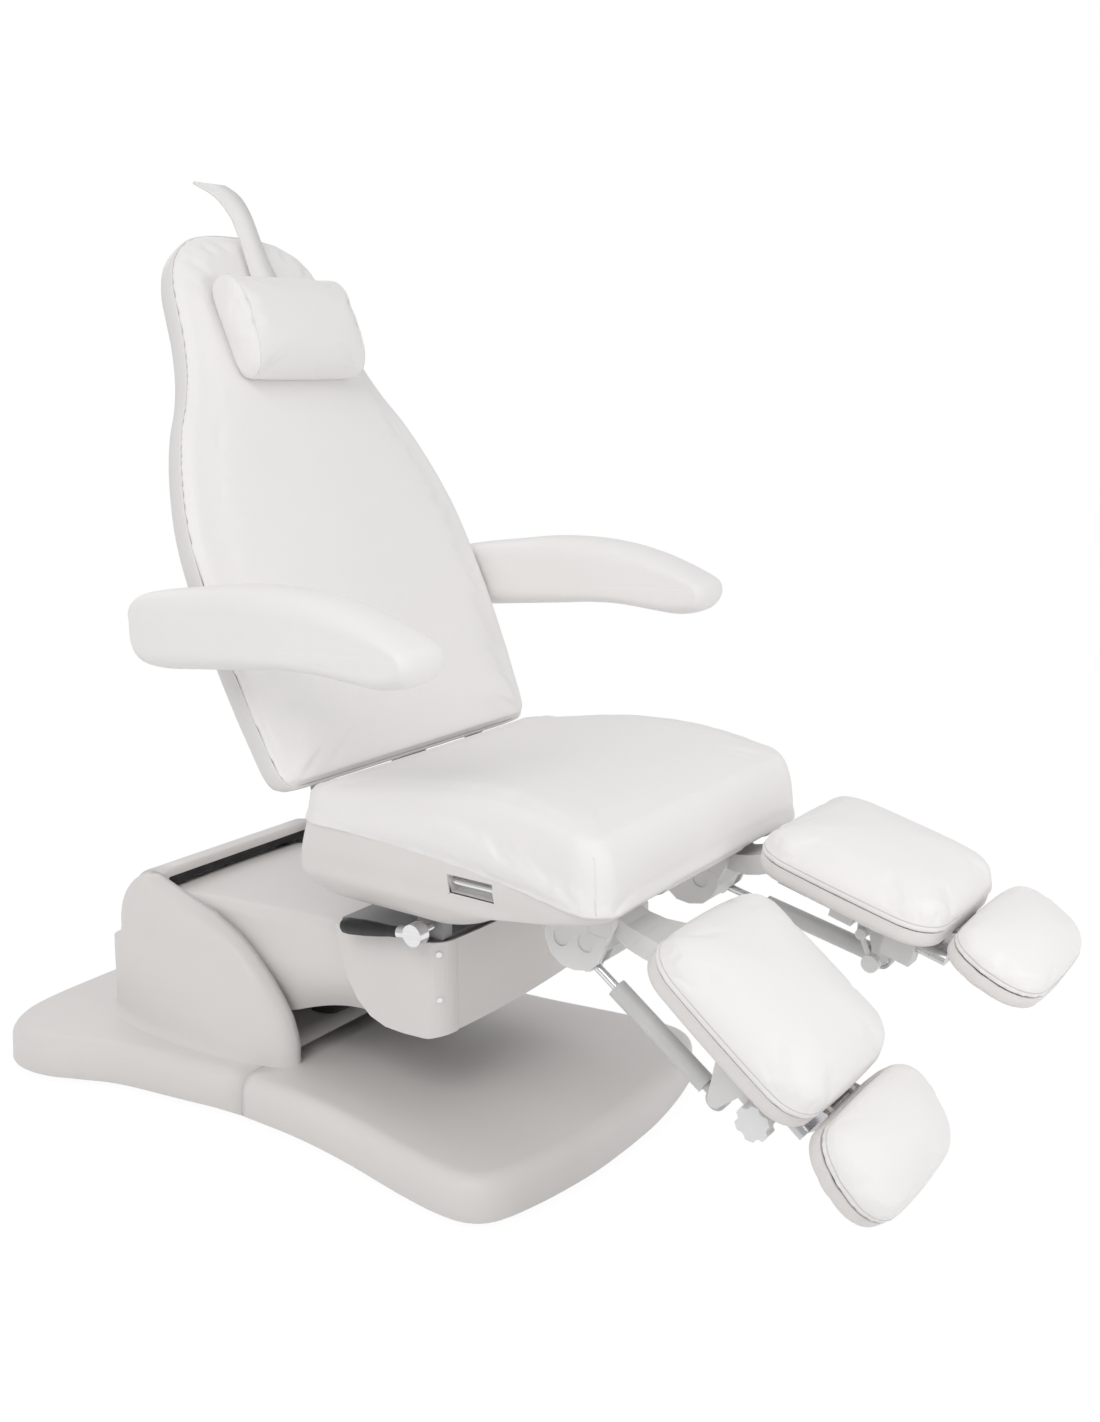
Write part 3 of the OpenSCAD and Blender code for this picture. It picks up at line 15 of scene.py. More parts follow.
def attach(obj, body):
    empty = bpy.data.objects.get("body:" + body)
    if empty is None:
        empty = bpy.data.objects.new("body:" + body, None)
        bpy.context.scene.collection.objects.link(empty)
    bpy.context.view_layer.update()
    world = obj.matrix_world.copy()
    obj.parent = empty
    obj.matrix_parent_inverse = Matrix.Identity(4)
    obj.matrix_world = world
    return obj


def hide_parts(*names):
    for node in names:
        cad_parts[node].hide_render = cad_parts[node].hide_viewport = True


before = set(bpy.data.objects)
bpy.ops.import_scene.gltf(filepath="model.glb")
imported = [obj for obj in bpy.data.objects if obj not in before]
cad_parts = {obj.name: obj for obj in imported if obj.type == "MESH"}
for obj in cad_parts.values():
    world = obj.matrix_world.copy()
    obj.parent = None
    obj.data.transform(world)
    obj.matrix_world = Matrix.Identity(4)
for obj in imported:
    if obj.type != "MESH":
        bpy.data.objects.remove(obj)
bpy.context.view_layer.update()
scene = bpy.context.scene
MM = 0.001

# Sizes in millimetres and angles in degrees, as the frame has them. The front is towards -Y.

# Base: its length, the place of its rear end, its width and height, the gap under its skirt, the radius of
# its edge, and the joint between its two covers
BASE_LEN, BASE_REAR, BASE_W, BASE_H = 1103, 865, 744, 75
SKIRT_GAP, BASE_EDGE, SPLIT = 10, 26, 325
# Wall of every moulded cover
WALL = 4
# Pivot of the lift arm, and half the width of its hood
LIFT_Y, ARM_COVER_HW = 520, 168
# Seat cushion: width, length, reach in front of the column, height of its foot, thickness, and how far its
# lower edge falls towards the front
SEAT_W, SEAT_LEN, SEAT_FRONT, SEAT_Z, SEAT_T, SEAT_DROP = 600, 537, 375, 541, 58, 48
# Backrest: its lean, length, width, the thickness of its pad and the depth of its shell
RECLINE, BACK_LEN, BACK_W, BACK_T, SHELL_DEPTH = 24.57, 885, 630, 22, 52
# Armrests: width, the clear gap between them, and length
ARM_W, ARM_GAP, ARM_LEN = 92, 644, 522
# Legs: width of a pad, length of the foot's pad, place of the hinge, and each leg's own angle
LEG_W, FOOT_LEN = 292, 150
LEG_X, LEG_H = 157, (-315, 460)
TILT = {"right": 38, "left": 15}
SIDE = {"right": -1, "left": 1}


# Outlines and rings

def ring_normals(p):
    t = np.roll(p, -1, axis=0) - np.roll(p, 1, axis=0)
    t = t / np.linalg.norm(t, axis=1)[:, None]
    return np.stack([t[:, 1], -t[:, 0]], axis=1)


def inset(p, d, ease=None):
    """The outline drawn in by d, and by less where it faces the way that ease gives."""
    n = ring_normals(p)
    if ease is None:
        return p - d * n
    k = 1 - ease[0] * np.clip(n @ np.asarray(ease[1], float), 0, 1)
    return p - d * k[:, None] * n


def shrink(p, c, k):
    return np.asarray(c, float) + k * (p - np.asarray(c, float))


def at_z(p, z):
    z = np.broadcast_to(np.asarray(z, float), (len(p),))
    return np.column_stack([p, z])


def curve(h, k):
    """Smooth curve through the points of h, with k steps a span."""
    h = np.asarray(h, float)
    out = []
    for i in range(len(h) - 1):
        a, b = h[max(i - 1, 0)], h[i]
        c, d = h[i + 1], h[min(i + 2, len(h) - 1)]
        for j in range(k):
            t = j / k
            out.append(0.5 * (2 * b + (c - a) * t + (2 * a - 5 * b + 4 * c - d) * t * t
                              + (3 * b - a - 3 * c + d) * t ** 3))
    out.append(h[-1])
    return np.array(out)


def mirrored(h):
    h = np.asarray(h, float)
    return np.vstack([h, (h[-2:0:-1]) * [-1, 1]])


def spread(p, step):
    """The same closed outline with its points evenly spaced, about step apart."""
    q = np.vstack([p, p[:1]])
    s = np.concatenate([[0], np.cumsum(np.linalg.norm(np.diff(q, axis=0), axis=1))])
    n = max(8, int(round(s[-1] / step)))
    t = np.linspace(0, s[-1], n, endpoint=False)
    return np.column_stack([np.interp(t, s, q[:, i]) for i in range(q.shape[1])])


def round_rect(hw, y0, y1, r0, r1, pull=0.0, n=12, m=9):
    """Rounded rectangle, counter-clockwise from above, its sides drawn in by pull."""
    def arc(cx, cy, r, a0):
        a = np.radians(a0 + 90 * np.arange(n + 1) / n)
        return np.column_stack([cx + r * np.cos(a), cy + r * np.sin(a)])

    def side(a, b):
        d = b - a
        q = np.array([-d[1], d[0]]) / np.linalg.norm(d)
        t = (np.arange(1, m + 1) / (m + 1))[:, None]
        return a + d * t + q * pull * 4 * t * (1 - t)

    c = [arc(hw - r1, y1 - r1, r1, 0), arc(r1 - hw, y1 - r1, r1, 90),
         arc(r0 - hw, y0 + r0, r0, 180), arc(hw - r0, y0 + r0, r0, 270)]
    return np.vstack([c[0], side(c[0][-1], c[1][0]), c[1], side(c[1][-1], c[2][0]),
                      c[2], side(c[2][-1], c[3][0]), c[3], side(c[3][-1], c[0][0])])


# Objects

def new_object(name, data):
    o = bpy.data.objects.new(name, data)
    scene.collection.objects.link(o)
    return o


def mesh_of(name, bm):
    mesh = bpy.data.meshes.new(name)
    bm.to_mesh(mesh)
    bm.free()
    return mesh


def finish_mesh(name, bm, mat, body, place=None, replaces=(), smooth=True):
    bmesh.ops.remove_doubles(bm, verts=bm.verts, dist=1e-6)
    mesh = mesh_of(name, bm)
    if place is not None:
        mesh.transform(place)
    if smooth:
        for f in mesh.polygons:
            f.use_smooth = True
    o = new_object(name, mesh)
    mesh.materials.append(mat)
    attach(o, body)
    if replaces:
        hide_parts(*replaces)
    return o


def skin_into(bm, rings, low=None, high=None, loop=False, caps=True):
    """Quads between equal rings, given in millimetres, with fans at both ends."""
    rows = [[bm.verts.new(Vector(p) * MM) for p in r] for r in rings]
    n = len(rows[0])
    pairs = list(zip(rows[:-1], rows[1:]))
    if loop:
        pairs.append((rows[-1], rows[0]))
    for a, b in pairs:
        for i in range(n):
            k = (i + 1) % n
            bm.faces.new((a[i], a[k], b[k], b[i]))
    if caps and not loop:
        for row, tip, flip in ((rows[0], low, True), (rows[-1], high, False)):
            p = Vector(tip) * MM if tip is not None else sum((v.co for v in row), Vector()) / n
            c = bm.verts.new(p)
            for i in range(n):
                k = (i + 1) % n
                bm.faces.new((c, row[k], row[i]) if flip else (c, row[i], row[k]))
    return rows


def skin(name, rings, mat, body, place=None, replaces=(), low=None, high=None, loop=False):
    bm = bmesh.new()
    skin_into(bm, rings, low, high, loop)
    return finish_mesh(name, bm, mat, body, place, replaces)


def solid(name, parts, mat, body, place=None, replaces=(), smooth=True):
    """One piece from one or more sets of rings, with its faces turned outwards."""
    bm = bmesh.new()
    for rings in parts:
        skin_into(bm, rings)
    bmesh.ops.recalc_face_normals(bm, faces=bm.faces)
    return finish_mesh(name, bm, mat, body, place, replaces, smooth)


def box_mesh(x0, x1, y0, y1, z0, z1):
    bm = bmesh.new()
    bmesh.ops.create_cube(bm, size=1.0)
    for v in bm.verts:
        v.co = Vector(((x0 + x1) / 2 + v.co.x * (x1 - x0), (y0 + y1) / 2 + v.co.y * (y1 - y0),
                       (z0 + z1) / 2 + v.co.z * (z1 - z0))) * MM
    return bm


def rod_mesh(a, b, r, sides=48):
    """A round rod from a to b, in millimetres."""
    a, b = Vector(a) * MM, Vector(b) * MM
    bm = bmesh.new()
    bmesh.ops.create_cone(bm, cap_ends=True, segments=sides, radius1=r * MM, radius2=r * MM,
                          depth=(b - a).length)
    turn = (b - a).to_track_quat("Z", "Y").to_matrix().to_4x4()
    turn.translation = (a + b) / 2
    bmesh.ops.transform(bm, matrix=turn, verts=bm.verts)
    return bm


def carve(o, cutters):
    """Cuts the given meshes out of the piece and keeps the result as its mesh."""
    extra = []
    for i, bm in enumerate(cutters):
        c = new_object("cutter", mesh_of("cutter", bm))
        extra.append(c)
        m = o.modifiers.new(f"cut_{i}", "BOOLEAN")
        m.operation = "DIFFERENCE"
        m.solver = "EXACT"
        m.object = c
    dg = bpy.context.evaluated_depsgraph_get()
    mesh = bpy.data.meshes.new_from_object(o.evaluated_get(dg))
    o.modifiers.clear()
    o.data = mesh
    for c in extra:
        bpy.data.objects.remove(c)
    mesh.shade_smooth()
    mesh.set_sharp_from_angle(angle=math.radians(40))


def tube(name, points, radius, mat, body, place=None, sides=8):
    """A thin round bead along a closed path, in millimetres."""
    p = np.asarray(points, float)
    n = len(p)
    bm = bmesh.new()
    rings = []
    for i in range(n):
        a = p[(i - 1) % n]
        b = p[(i + 1) % n]
        t = (b - a) / np.linalg.norm(b - a)
        ref = np.array([0, 0, 1.0]) if abs(t[2]) < 0.9 else np.array([1.0, 0, 0])
        u = np.cross(t, ref)
        u /= np.linalg.norm(u)
        v = np.cross(t, u)
        rings.append([p[i] + radius * (math.cos(w) * u + math.sin(w) * v)
                      for w in np.linspace(0, 2 * math.pi, sides, endpoint=False)])
    skin_into(bm, rings, loop=True)
    bmesh.ops.recalc_face_normals(bm, faces=bm.faces)
    return finish_mesh(name, bm, mat, body, place)


# Materials

def material(name):
    m = bpy.data.materials.new(name)
    m.use_nodes = True
    tree = m.node_tree
    return m, tree.nodes, tree.links, tree.nodes["Principled BSDF"]


def preset(node, **values):
    """Sets inputs of a shader node. In their names here an underscore stands for a space."""
    for k, v in values.items():
        node.inputs[k.replace("_", " ")].default_value = v
    return node


def ramp(nodes, links, fac, lo, hi, pos=(0.35, 0.65)):
    r = nodes.new("ShaderNodeValToRGB")
    r.color_ramp.elements[0].position = pos[0]
    r.color_ramp.elements[1].position = pos[1]
    r.color_ramp.elements[0].color = (*lo, 1)
    r.color_ramp.elements[1].color = (*hi, 1)
    links.new(fac, r.inputs["Fac"])
    return r.outputs["Color"]


def noise(nodes, links, coord, scale, detail=4.0, rough=0.55):
    n = preset(nodes.new("ShaderNodeTexNoise"), Scale=scale, Detail=detail, Roughness=rough)
    links.new(coord, n.inputs["Vector"])
    return n.outputs["Fac"]


def bump(nodes, links, height, distance, strength, normal=None):
    b = preset(nodes.new("ShaderNodeBump"), Distance=distance, Strength=strength)
    links.new(height, b.inputs["Height"])
    if normal is not None:
        links.new(normal, b.inputs["Normal"])
    return b.outputs["Normal"]


def roughness(nodes, links, fac, lo, hi):
    r = preset(nodes.new("ShaderNodeMapRange"), To_Min=lo, To_Max=hi)
    links.new(fac, r.inputs["Value"])
    return r.outputs["Result"]


def coords(nodes):
    return nodes.new("ShaderNodeTexCoord").outputs["Object"]


def tinted(nodes, links, bsdf, fac, colour, dim):
    """The base colour, which dims by the factor dim where fac is low."""
    lo = tuple(x * dim for x in colour)
    links.new(ramp(nodes, links, fac, lo, colour), bsdf.inputs["Base Color"])


def moulded(name, colour, rough=0.42, grain=900.0, depth=0.00012, cloud_scale=3.0, wear_scale=14.0):
    """Moulded plastic: an even tint with faint clouding and a fine spark-eroded grain."""
    m, nodes, links, bsdf = material(name)
    c = coords(nodes)
    tinted(nodes, links, bsdf, noise(nodes, links, c, cloud_scale, 3.0), colour, 0.975)
    wear = noise(nodes, links, c, wear_scale, 5.0)
    links.new(roughness(nodes, links, wear, rough - 0.05, rough + 0.07), bsdf.inputs["Roughness"])
    fine = noise(nodes, links, c, grain, 2.0)
    links.new(bump(nodes, links, fine, depth, 0.35), bsdf.inputs["Normal"])
    preset(bsdf, Specular_IOR_Level=0.45)
    return m


def leatherette(name, colour, pebble=620.0, wave_scale=9.0, crease_scale=60.0):
    """Soft upholstery: pebbled grain, slow waviness and slight shifts of tint."""
    m, nodes, links, bsdf = material(name)
    c = coords(nodes)
    cloud = noise(nodes, links, c, 2.2, 4.0)
    lo = tuple(x * y for x, y in zip(colour, (0.972, 0.97, 0.965)))
    links.new(ramp(nodes, links, cloud, lo, colour, (0.3, 0.7)), bsdf.inputs["Base Color"])
    cell = nodes.new("ShaderNodeTexVoronoi")
    cell.feature = "SMOOTH_F1"
    preset(cell, Scale=pebble)
    links.new(c, cell.inputs["Vector"])
    wave = noise(nodes, links, c, wave_scale, 3.0)
    crease = noise(nodes, links, c, crease_scale, 6.0, 0.65)
    n1 = bump(nodes, links, wave, 0.006, 0.16)
    n2 = bump(nodes, links, crease, 0.0008, 0.22, n1)
    n3 = bump(nodes, links, cell.outputs["Distance"], 0.0003, 0.4, n2)
    links.new(n3, bsdf.inputs["Normal"])
    links.new(roughness(nodes, links, crease, 0.44, 0.58), bsdf.inputs["Roughness"])
    preset(bsdf, Specular_IOR_Level=0.42, Sheen_Weight=0.08, Sheen_Roughness=0.5)
    return m


def metal(name, colour, rough, streak=(4.0, 4.0, 60.0), spread_by=0.08):
    """Bare or plated metal with fine drawn streaks and a few dull patches."""
    m, nodes, links, bsdf = material(name)
    c = coords(nodes)
    mp = preset(nodes.new("ShaderNodeMapping"), Scale=streak)
    links.new(c, mp.inputs["Vector"])
    line = noise(nodes, links, mp.outputs["Vector"], 12.0, 6.0)
    tinted(nodes, links, bsdf, line, colour, 0.9)
    links.new(roughness(nodes, links, line, rough - spread_by / 2, rough + spread_by / 2),
              bsdf.inputs["Roughness"])
    links.new(bump(nodes, links, line, 0.0002, 0.12), bsdf.inputs["Normal"])
    preset(bsdf, Metallic=1.0)
    return m


def coated(name, colour, rough=0.4, peel_scale=260.0, cloud_scale=7.0):
    """Powder-coated steel with a slight orange-peel surface."""
    m, nodes, links, bsdf = material(name)
    c = coords(nodes)
    peel = noise(nodes, links, c, peel_scale, 3.0)
    cloud = noise(nodes, links, c, cloud_scale, 4.0)
    tinted(nodes, links, bsdf, cloud, colour, 0.9)
    links.new(roughness(nodes, links, cloud, rough - 0.05, rough + 0.08), bsdf.inputs["Roughness"])
    links.new(bump(nodes, links, peel, 0.0003, 0.3), bsdf.inputs["Normal"])
    return m


def rubber(name, colour, dust_scale=30.0):
    """Matt black rubber, a little dusty."""
    m, nodes, links, bsdf = material(name)
    c = coords(nodes)
    dust = noise(nodes, links, c, dust_scale, 6.0)
    hi = tuple(min(1, x * 1.6 + 0.02) for x in colour)
    links.new(ramp(nodes, links, dust, colour, hi, (0.45, 0.8)), bsdf.inputs["Base Color"])
    links.new(roughness(nodes, links, dust, 0.6, 0.85), bsdf.inputs["Roughness"])
    links.new(bump(nodes, links, dust, 0.0004, 0.3), bsdf.inputs["Normal"])
    return m


PLASTIC = moulded("moulded_grey", (0.79, 0.765, 0.745))
PLASTIC_SIDE = moulded("moulded_light", (0.80, 0.785, 0.77), 0.45)
VINYL = leatherette("leatherette_white", (0.90, 0.885, 0.872))
PIPING = leatherette("leatherette_piping", (0.84, 0.835, 0.825))
# Seam lines: a darker grey on a sunk bead, which is painted shade of the sewn crease and not the colour of
# the thread
SEAM_SHADE = leatherette("seam_painted_shade", (0.68, 0.665, 0.65))
CAST = coated("cast_white", (0.80, 0.795, 0.785), 0.38)
FRAME_STEEL = coated("frame_coat", (0.36, 0.36, 0.365), 0.45)
MOTOR = coated("motor_coat", (0.05, 0.05, 0.055), 0.4)
CHROME = metal("chrome", (0.83, 0.83, 0.84), 0.12)
STRUT = coated("strut_grey", (0.66, 0.66, 0.655), 0.32)
SATIN = metal("satin_steel", (0.62, 0.62, 0.63), 0.28)
GRIP = moulded("grip_black", (0.018, 0.018, 0.018), 0.3, 600.0)
FOOT = rubber("foot_black", (0.02, 0.02, 0.021))
DARK = rubber("seal_black", (0.015, 0.015, 0.016))
KNOB = moulded("knob_white", (0.83, 0.83, 0.825), 0.35, 400.0)


def dress(node, mat, bevel=0.0, seg=2):
    """A material, and where it helps an eased edge, for a node of the frame."""
    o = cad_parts[node]
    if not o.material_slots:
        o.data.materials.append(mat)
    for s in o.material_slots:
        s.material = mat
    if bevel:
        m = o.modifiers.new("edge", "BEVEL")
        m.width = bevel * MM
        m.segments = seg
        m.limit_method = "ANGLE"
        m.angle_limit = math.radians(35)
        m.use_clamp_overlap = True
        m.harden_normals = True
    return o


# Camera and light

# Fitted to the photograph: heading and height of the view in degrees, place in metres, lens in millimetres
VIEW_AZIMUTH, VIEW_ELEVATION = -55.019, 13.001
CAMERA_AT = (-1.748, -1.312, 1.173)
LENS, SENSOR = 37.09, 36.0


def make_camera():
    a, e = math.radians(VIEW_AZIMUTH), math.radians(VIEW_ELEVATION)
    back = Vector((math.sin(a) * math.cos(e), -math.cos(a) * math.cos(e), math.sin(e)))
    right = (-back).cross(Vector((0, 0, 1))).normalized()
    up = right.cross(-back)
    data = bpy.data.cameras.new("camera")
    data.sensor_fit = "VERTICAL"
    data.sensor_height = SENSOR
    data.sensor_width = SENSOR
    data.lens = LENS
    data.clip_start = 0.05
    data.clip_end = 60.0
    cam = new_object("camera", data)
    m = Matrix((right, up, back)).transposed().to_4x4()
    m.translation = Vector(CAMERA_AT)
    cam.matrix_world = m
    scene.camera = cam


# The floor's own share of white, and the strength of that white and of the soft light all round
FLOOR_WHITE, FLOOR_GLOW, SOFT_LIGHT = 0.93, 1.03, 0.64
FLOOR_SIZE = 14.0
# Lamps: name, place, target, size in metres, power in watts, and colour
LAMPS = [
    ("key", (-2.6, -0.6, 3.0), (0, 0, 0.6), (1.8, 1.8), 32, (1.0, 0.99, 0.97)),
    ("fill", (1.2, -3.2, 1.6), (0, 0, 0.6), (2.2, 1.6), 5, (1, 1, 1)),
    ("back", (1.0, 2.6, 2.6), (0, 0.2, 0.8), (2.0, 1.6), 12, (1, 1, 1)),
    ("front", (-0.1, -2.0, 1.3), (0, -0.8, 0.35), (0.9, 0.7), 6, (1, 1, 1)),
]


def lamp(name, at, to, size, power, colour):
    data = bpy.data.lights.new(name, "AREA")
    data.shape = "RECTANGLE"
    data.size, data.size_y = size
    data.energy = power
    data.color = colour
    o = new_object(name, data)
    o.location = at
    o.rotation_euler = (Vector(to) - Vector(at)).to_track_quat("-Z", "Y").to_euler()


def seen_by(nodes, links, *rays):
    """1 where a ray of one of the two kinds meets the surface, and otherwise 0."""
    path = nodes.new("ShaderNodeLightPath")
    top = nodes.new("ShaderNodeMath")
    top.operation = "MAXIMUM"
    for i, ray in enumerate(rays):
        links.new(path.outputs[f"Is {ray} Ray"], top.inputs[i])
    return top.outputs[0]


def blend(nodes, links, fac, a, b, out):
    mix = nodes.new("ShaderNodeMixShader")
    for i, source in enumerate((fac, a, b)):
        links.new(source, mix.inputs[i])
    links.new(mix.outputs["Shader"], out.inputs["Surface"])


def white_for_camera(nodes, links, shader, out, strength):
    """Adds an even white where the camera, or a glossy ray, sees the surface."""
    glow = preset(nodes.new("ShaderNodeEmission"), Strength=strength)
    part = nodes.new("ShaderNodeMath")
    part.operation = "MULTIPLY"
    part.inputs[1].default_value = FLOOR_WHITE
    links.new(seen_by(nodes, links, "Camera", "Glossy"), part.inputs[0])
    blend(nodes, links, part.outputs[0], shader, glow.outputs["Emission"], out)


def make_studio():
    scene.view_settings.view_transform = "Standard"
    world = bpy.data.worlds.new("studio")
    scene.world = world
    world.use_nodes = True
    nodes, links = world.node_tree.nodes, world.node_tree.links
    nodes.clear()
    soft = preset(nodes.new("ShaderNodeBackground"), Color=(0.985, 0.985, 1.0, 1), Strength=SOFT_LIGHT)
    white = preset(nodes.new("ShaderNodeBackground"), Color=(1, 1, 1, 1), Strength=1.0)
    blend(nodes, links, seen_by(nodes, links, "Camera", "Transmission"), soft.outputs["Background"],
          white.outputs["Background"], nodes.new("ShaderNodeOutputWorld"))

    bm = bmesh.new()
    bmesh.ops.create_grid(bm, x_segments=1, y_segments=1, size=FLOOR_SIZE)
    floor = new_object("floor", mesh_of("floor", bm))
    m = bpy.data.materials.new("floor_white")
    m.use_nodes = True
    fn, fl = m.node_tree.nodes, m.node_tree.links
    bsdf = fn["Principled BSDF"]
    preset(bsdf, Base_Color=(0.93, 0.93, 0.93, 1), Roughness=0.8, Specular_IOR_Level=0.1)
    white_for_camera(fn, fl, bsdf.outputs["BSDF"], fn["Material Output"], FLOOR_GLOW)
    floor.data.materials.append(m)

    for values in LAMPS:
        lamp(*values)


make_camera()
make_studio()


# Base covers

# Outline of the base, front tip to rear end: half widths as shares of half the width, and distances from the
# rear end as shares of the length
FRONT_HALF = [[0, 1], [0.245, 0.997], [0.516, 0.983], [0.73, 0.962], [0.817, 0.934], [0.839, 0.89],
              [0.82, 0.82], [0.762, 0.7], [0.734, 0.6], [0.734, 0.5]]
REAR_HALF = [[0.75, 0.44], [0.785, 0.378], [0.847, 0.267], [0.925, 0.2], [0.978, 0.158], [1, 0.118],
             [0.989, 0.08], [0.93, 0.043], [0.81, 0.016], [0.645, 0.004], [0.35, 0], [0, 0]]
BASE_HW = BASE_W / 2
WAIST_SHARE = 0.734
WAIST = BASE_HW * WAIST_SHARE
# Lean of the sides, crown of the deck, eased edge of the skirt, and half the gap between the covers
BASE_LEAN, BASE_CROWN, SKIRT_EASE, HALF_GAP = 2, 2.0, 1.2, 0.7
# Steps of a curve between two points of an outline, and the least distance of those points from the joint
BASE_STEPS, JOINT_CLEAR = 9, 1.5


def base_half(shares, front):
    p = curve([[s[0] * BASE_HW, BASE_REAR - s[1] * BASE_LEN] for s in shares], BASE_STEPS)
    line = [[WAIST * t, SPLIT] for t in np.linspace(0, 1, 13)]
    if front:
        p = p[p[:, 1] < SPLIT - JOINT_CLEAR]
        return np.vstack([p, line[::-1]])
    return np.vstack([line, p[p[:, 1] > SPLIT + JOINT_CLEAR]])


def cover_ring(half, d, z, y):
    o = mirrored(half)
    q = inset(o, d)
    on = np.abs(o[:, 1] - SPLIT) < 1e-6
    q[on, 0] = o[on, 0] * (1 - d / WAIST)
    q[on, 1] = y
    return at_z(q, z)


def cover_rings(half, y, in_y):
    low = BASE_H - BASE_EDGE
    r = BASE_EDGE - WALL
    rings = [cover_ring(half, WALL + BASE_LEAN + r * (1 - math.cos(a)), low + r * math.sin(a), in_y)
             for a in np.radians([90, 60, 30])]
    rings += [cover_ring(half, WALL + BASE_LEAN, low, in_y), cover_ring(half, WALL, SKIRT_GAP, in_y),
              cover_ring(half, SKIRT_EASE / 2, SKIRT_GAP, y), cover_ring(half, 0, SKIRT_GAP + SKIRT_EASE, y),
              cover_ring(half, BASE_LEAN, low, y)]
    rings += [cover_ring(half, BASE_LEAN + BASE_EDGE * (1 - math.cos(a)), low + BASE_EDGE * math.sin(a), y)
              for a in np.radians([9, 18, 27, 36, 45, 54, 63, 72, 81, 90])]
    return rings


def crowned(rings, c, steps, crown):
    """More rings over a flat top, so that it domes gently to its middle."""
    out = list(rings)
    last = rings[-1]
    for t in np.linspace(0, 1, steps + 1)[1:-1]:
        p = shrink(last[:, :2], c, 1 - t)
        out.append(at_z(p, last[:, 2] + crown * (1 - (1 - t) ** 2)))
    return out


def base_cover(name, half, y, in_y, mid, node):
    rings = crowned(cover_rings(half, y, in_y), mid, 6, BASE_CROWN)
    skin(name, rings, PLASTIC, "base", replaces=(node,),
         low=(mid[0], mid[1], BASE_H - WALL), high=(mid[0], mid[1], BASE_H + BASE_CROWN))


FRONT = base_half(FRONT_HALF, True)
REAR = base_half(REAR_HALF, False)
base_cover("base_front_cover", FRONT, SPLIT - HALF_GAP, SPLIT - HALF_GAP - WALL,
           (0, SPLIT - BASE_LEN / 4), "front_base_cover")
base_cover("base_rear_cover", REAR, SPLIT + HALF_GAP, SPLIT + HALF_GAP + WALL,
           (0, SPLIT + BASE_LEN / 4), "rear_base_cover")

# Lift housing

# Fenders: place of the inner face, width of the upper band and of the lower body, height, hollow at the foot
FENDER_X = ARM_COVER_HW + 10
BAND, BULGE, FENDER_TOP, HOLLOW = 48, 58, 340, 18
# Shoulder: its height, the round under it, and the middle and length of the arch above it
SHOULDER, SHOULDER_ROUND = 232, 9
ARCH_MID, ARCH_LEN, ARCH_OVER = BASE_REAR - 273, 96, 4
# Rear wall, how far it leans in up to the shoulder, and the height of the roof
HOUSE_REAR, REAR_LEAN, ROOF_Z = BASE_REAR - 144, 16, 343
# Rim of the roof over the arm's hood, and the depth of its lip
RIM, LIP = LIFT_Y + 74, 26
# Front edge of the fender: heights, and places along the base
FRONT_ARCH = [[75, 287], [92, 282], [110, 281], [135, 286], [162, 297], [188, 316], [215, 340], [245, 372],
              [272, 408], [300, 470], [315, 526], [328, 572], [340, 604]]
# Powers that square a fender's plan: at its top, what its foot adds, and along its length
PLAN_TOP, PLAN_FOOT, PLAN_LENGTH = 0.5, 0.3, 0.92


def fender_front(z):
    return float(np.interp(z, [p[0] for p in FRONT_ARCH], [p[1] for p in FRONT_ARCH]))


def fender_rear(z):
    if z <= SHOULDER - SHOULDER_ROUND:
        return HOUSE_REAR - REAR_LEAN * (z - BASE_H) / (SHOULDER - BASE_H)
    t = (z - SHOULDER) / (FENDER_TOP + ARCH_OVER - SHOULDER)
    return ARCH_MID + ARCH_LEN * math.sqrt(max(0.0, 1 - t ** 2))


def fender_out(z):
    if z <= SHOULDER:
        t = (z - BASE_H) / (SHOULDER - BASE_H)
        return BAND + (BULGE - BAND) * math.sqrt(max(0.0, 1 - t ** 4))
    return BAND * (1 - 0.5 * ((z - SHOULDER) / (FENDER_TOP - SHOULDER)) ** 4)


def fender_ring(z, n=40):
    a, b = fender_front(z), fender_rear(z)
    m, h, w = (a + b) / 2, (b - a) / 2, fender_out(z)
    t = np.radians(180 * np.arange(n + 1) / n - 90)
    s = np.sin(t)
    c = np.maximum(0, np.cos(t))
    power = PLAN_TOP + PLAN_FOOT * max(0.0, 1 - (z - BASE_H) / (SHOULDER - BASE_H))
    p = np.column_stack([FENDER_X + w * c ** power, m + h * np.sign(s) * np.abs(s) ** PLAN_LENGTH])
    back = [[FENDER_X, m + h * k] for k in (0.75, 0.5, 0.25, 0, -0.25, -0.5, -0.75)]
    return at_z(np.vstack([p, back]), z)


# Where along a fender its foot starts to widen, over what length, and the least share of the hollow there
SWEEP_START, SWEEP_LEN, SWEEP_LEAST = 40, 180, 0.1


def fillet(ring, z0, out):
    """Foot of a fender: it sweeps out to the deck in a round hollow, which is tight at the front."""
    p = ring[:, :2]
    w = np.clip((p[:, 1] - p[:, 1].min() - SWEEP_START) / SWEEP_LEN, SWEEP_LEAST, 1)
    q = p + out * w[:, None] * ring_normals(p)
    inner = np.abs(p[:, 0] - FENDER_X) < 1e-6
    q[inner, 0] = FENDER_X
    q[inner, 1] = p[inner, 1]
    return at_z(q, z0)


LEVEL_SHARES = (0.06, 0.12, 0.2, 0.3, 0.4, 0.47, 0.52, 0.56, 0.585, 0.605, 0.622, 0.635, 0.645, 0.66, 0.69,
                0.72, 0.76, 0.8, 0.84, 0.88, 0.91, 0.94, 0.96, 0.98, 0.993)
# The deck's height at a fender, how far the foot sinks into it, and how much wider than high its hollow is
DECK_Z, FOOT_SINK, HOLLOW_WIDER = BASE_H + 1.2, 1.5, 1.1
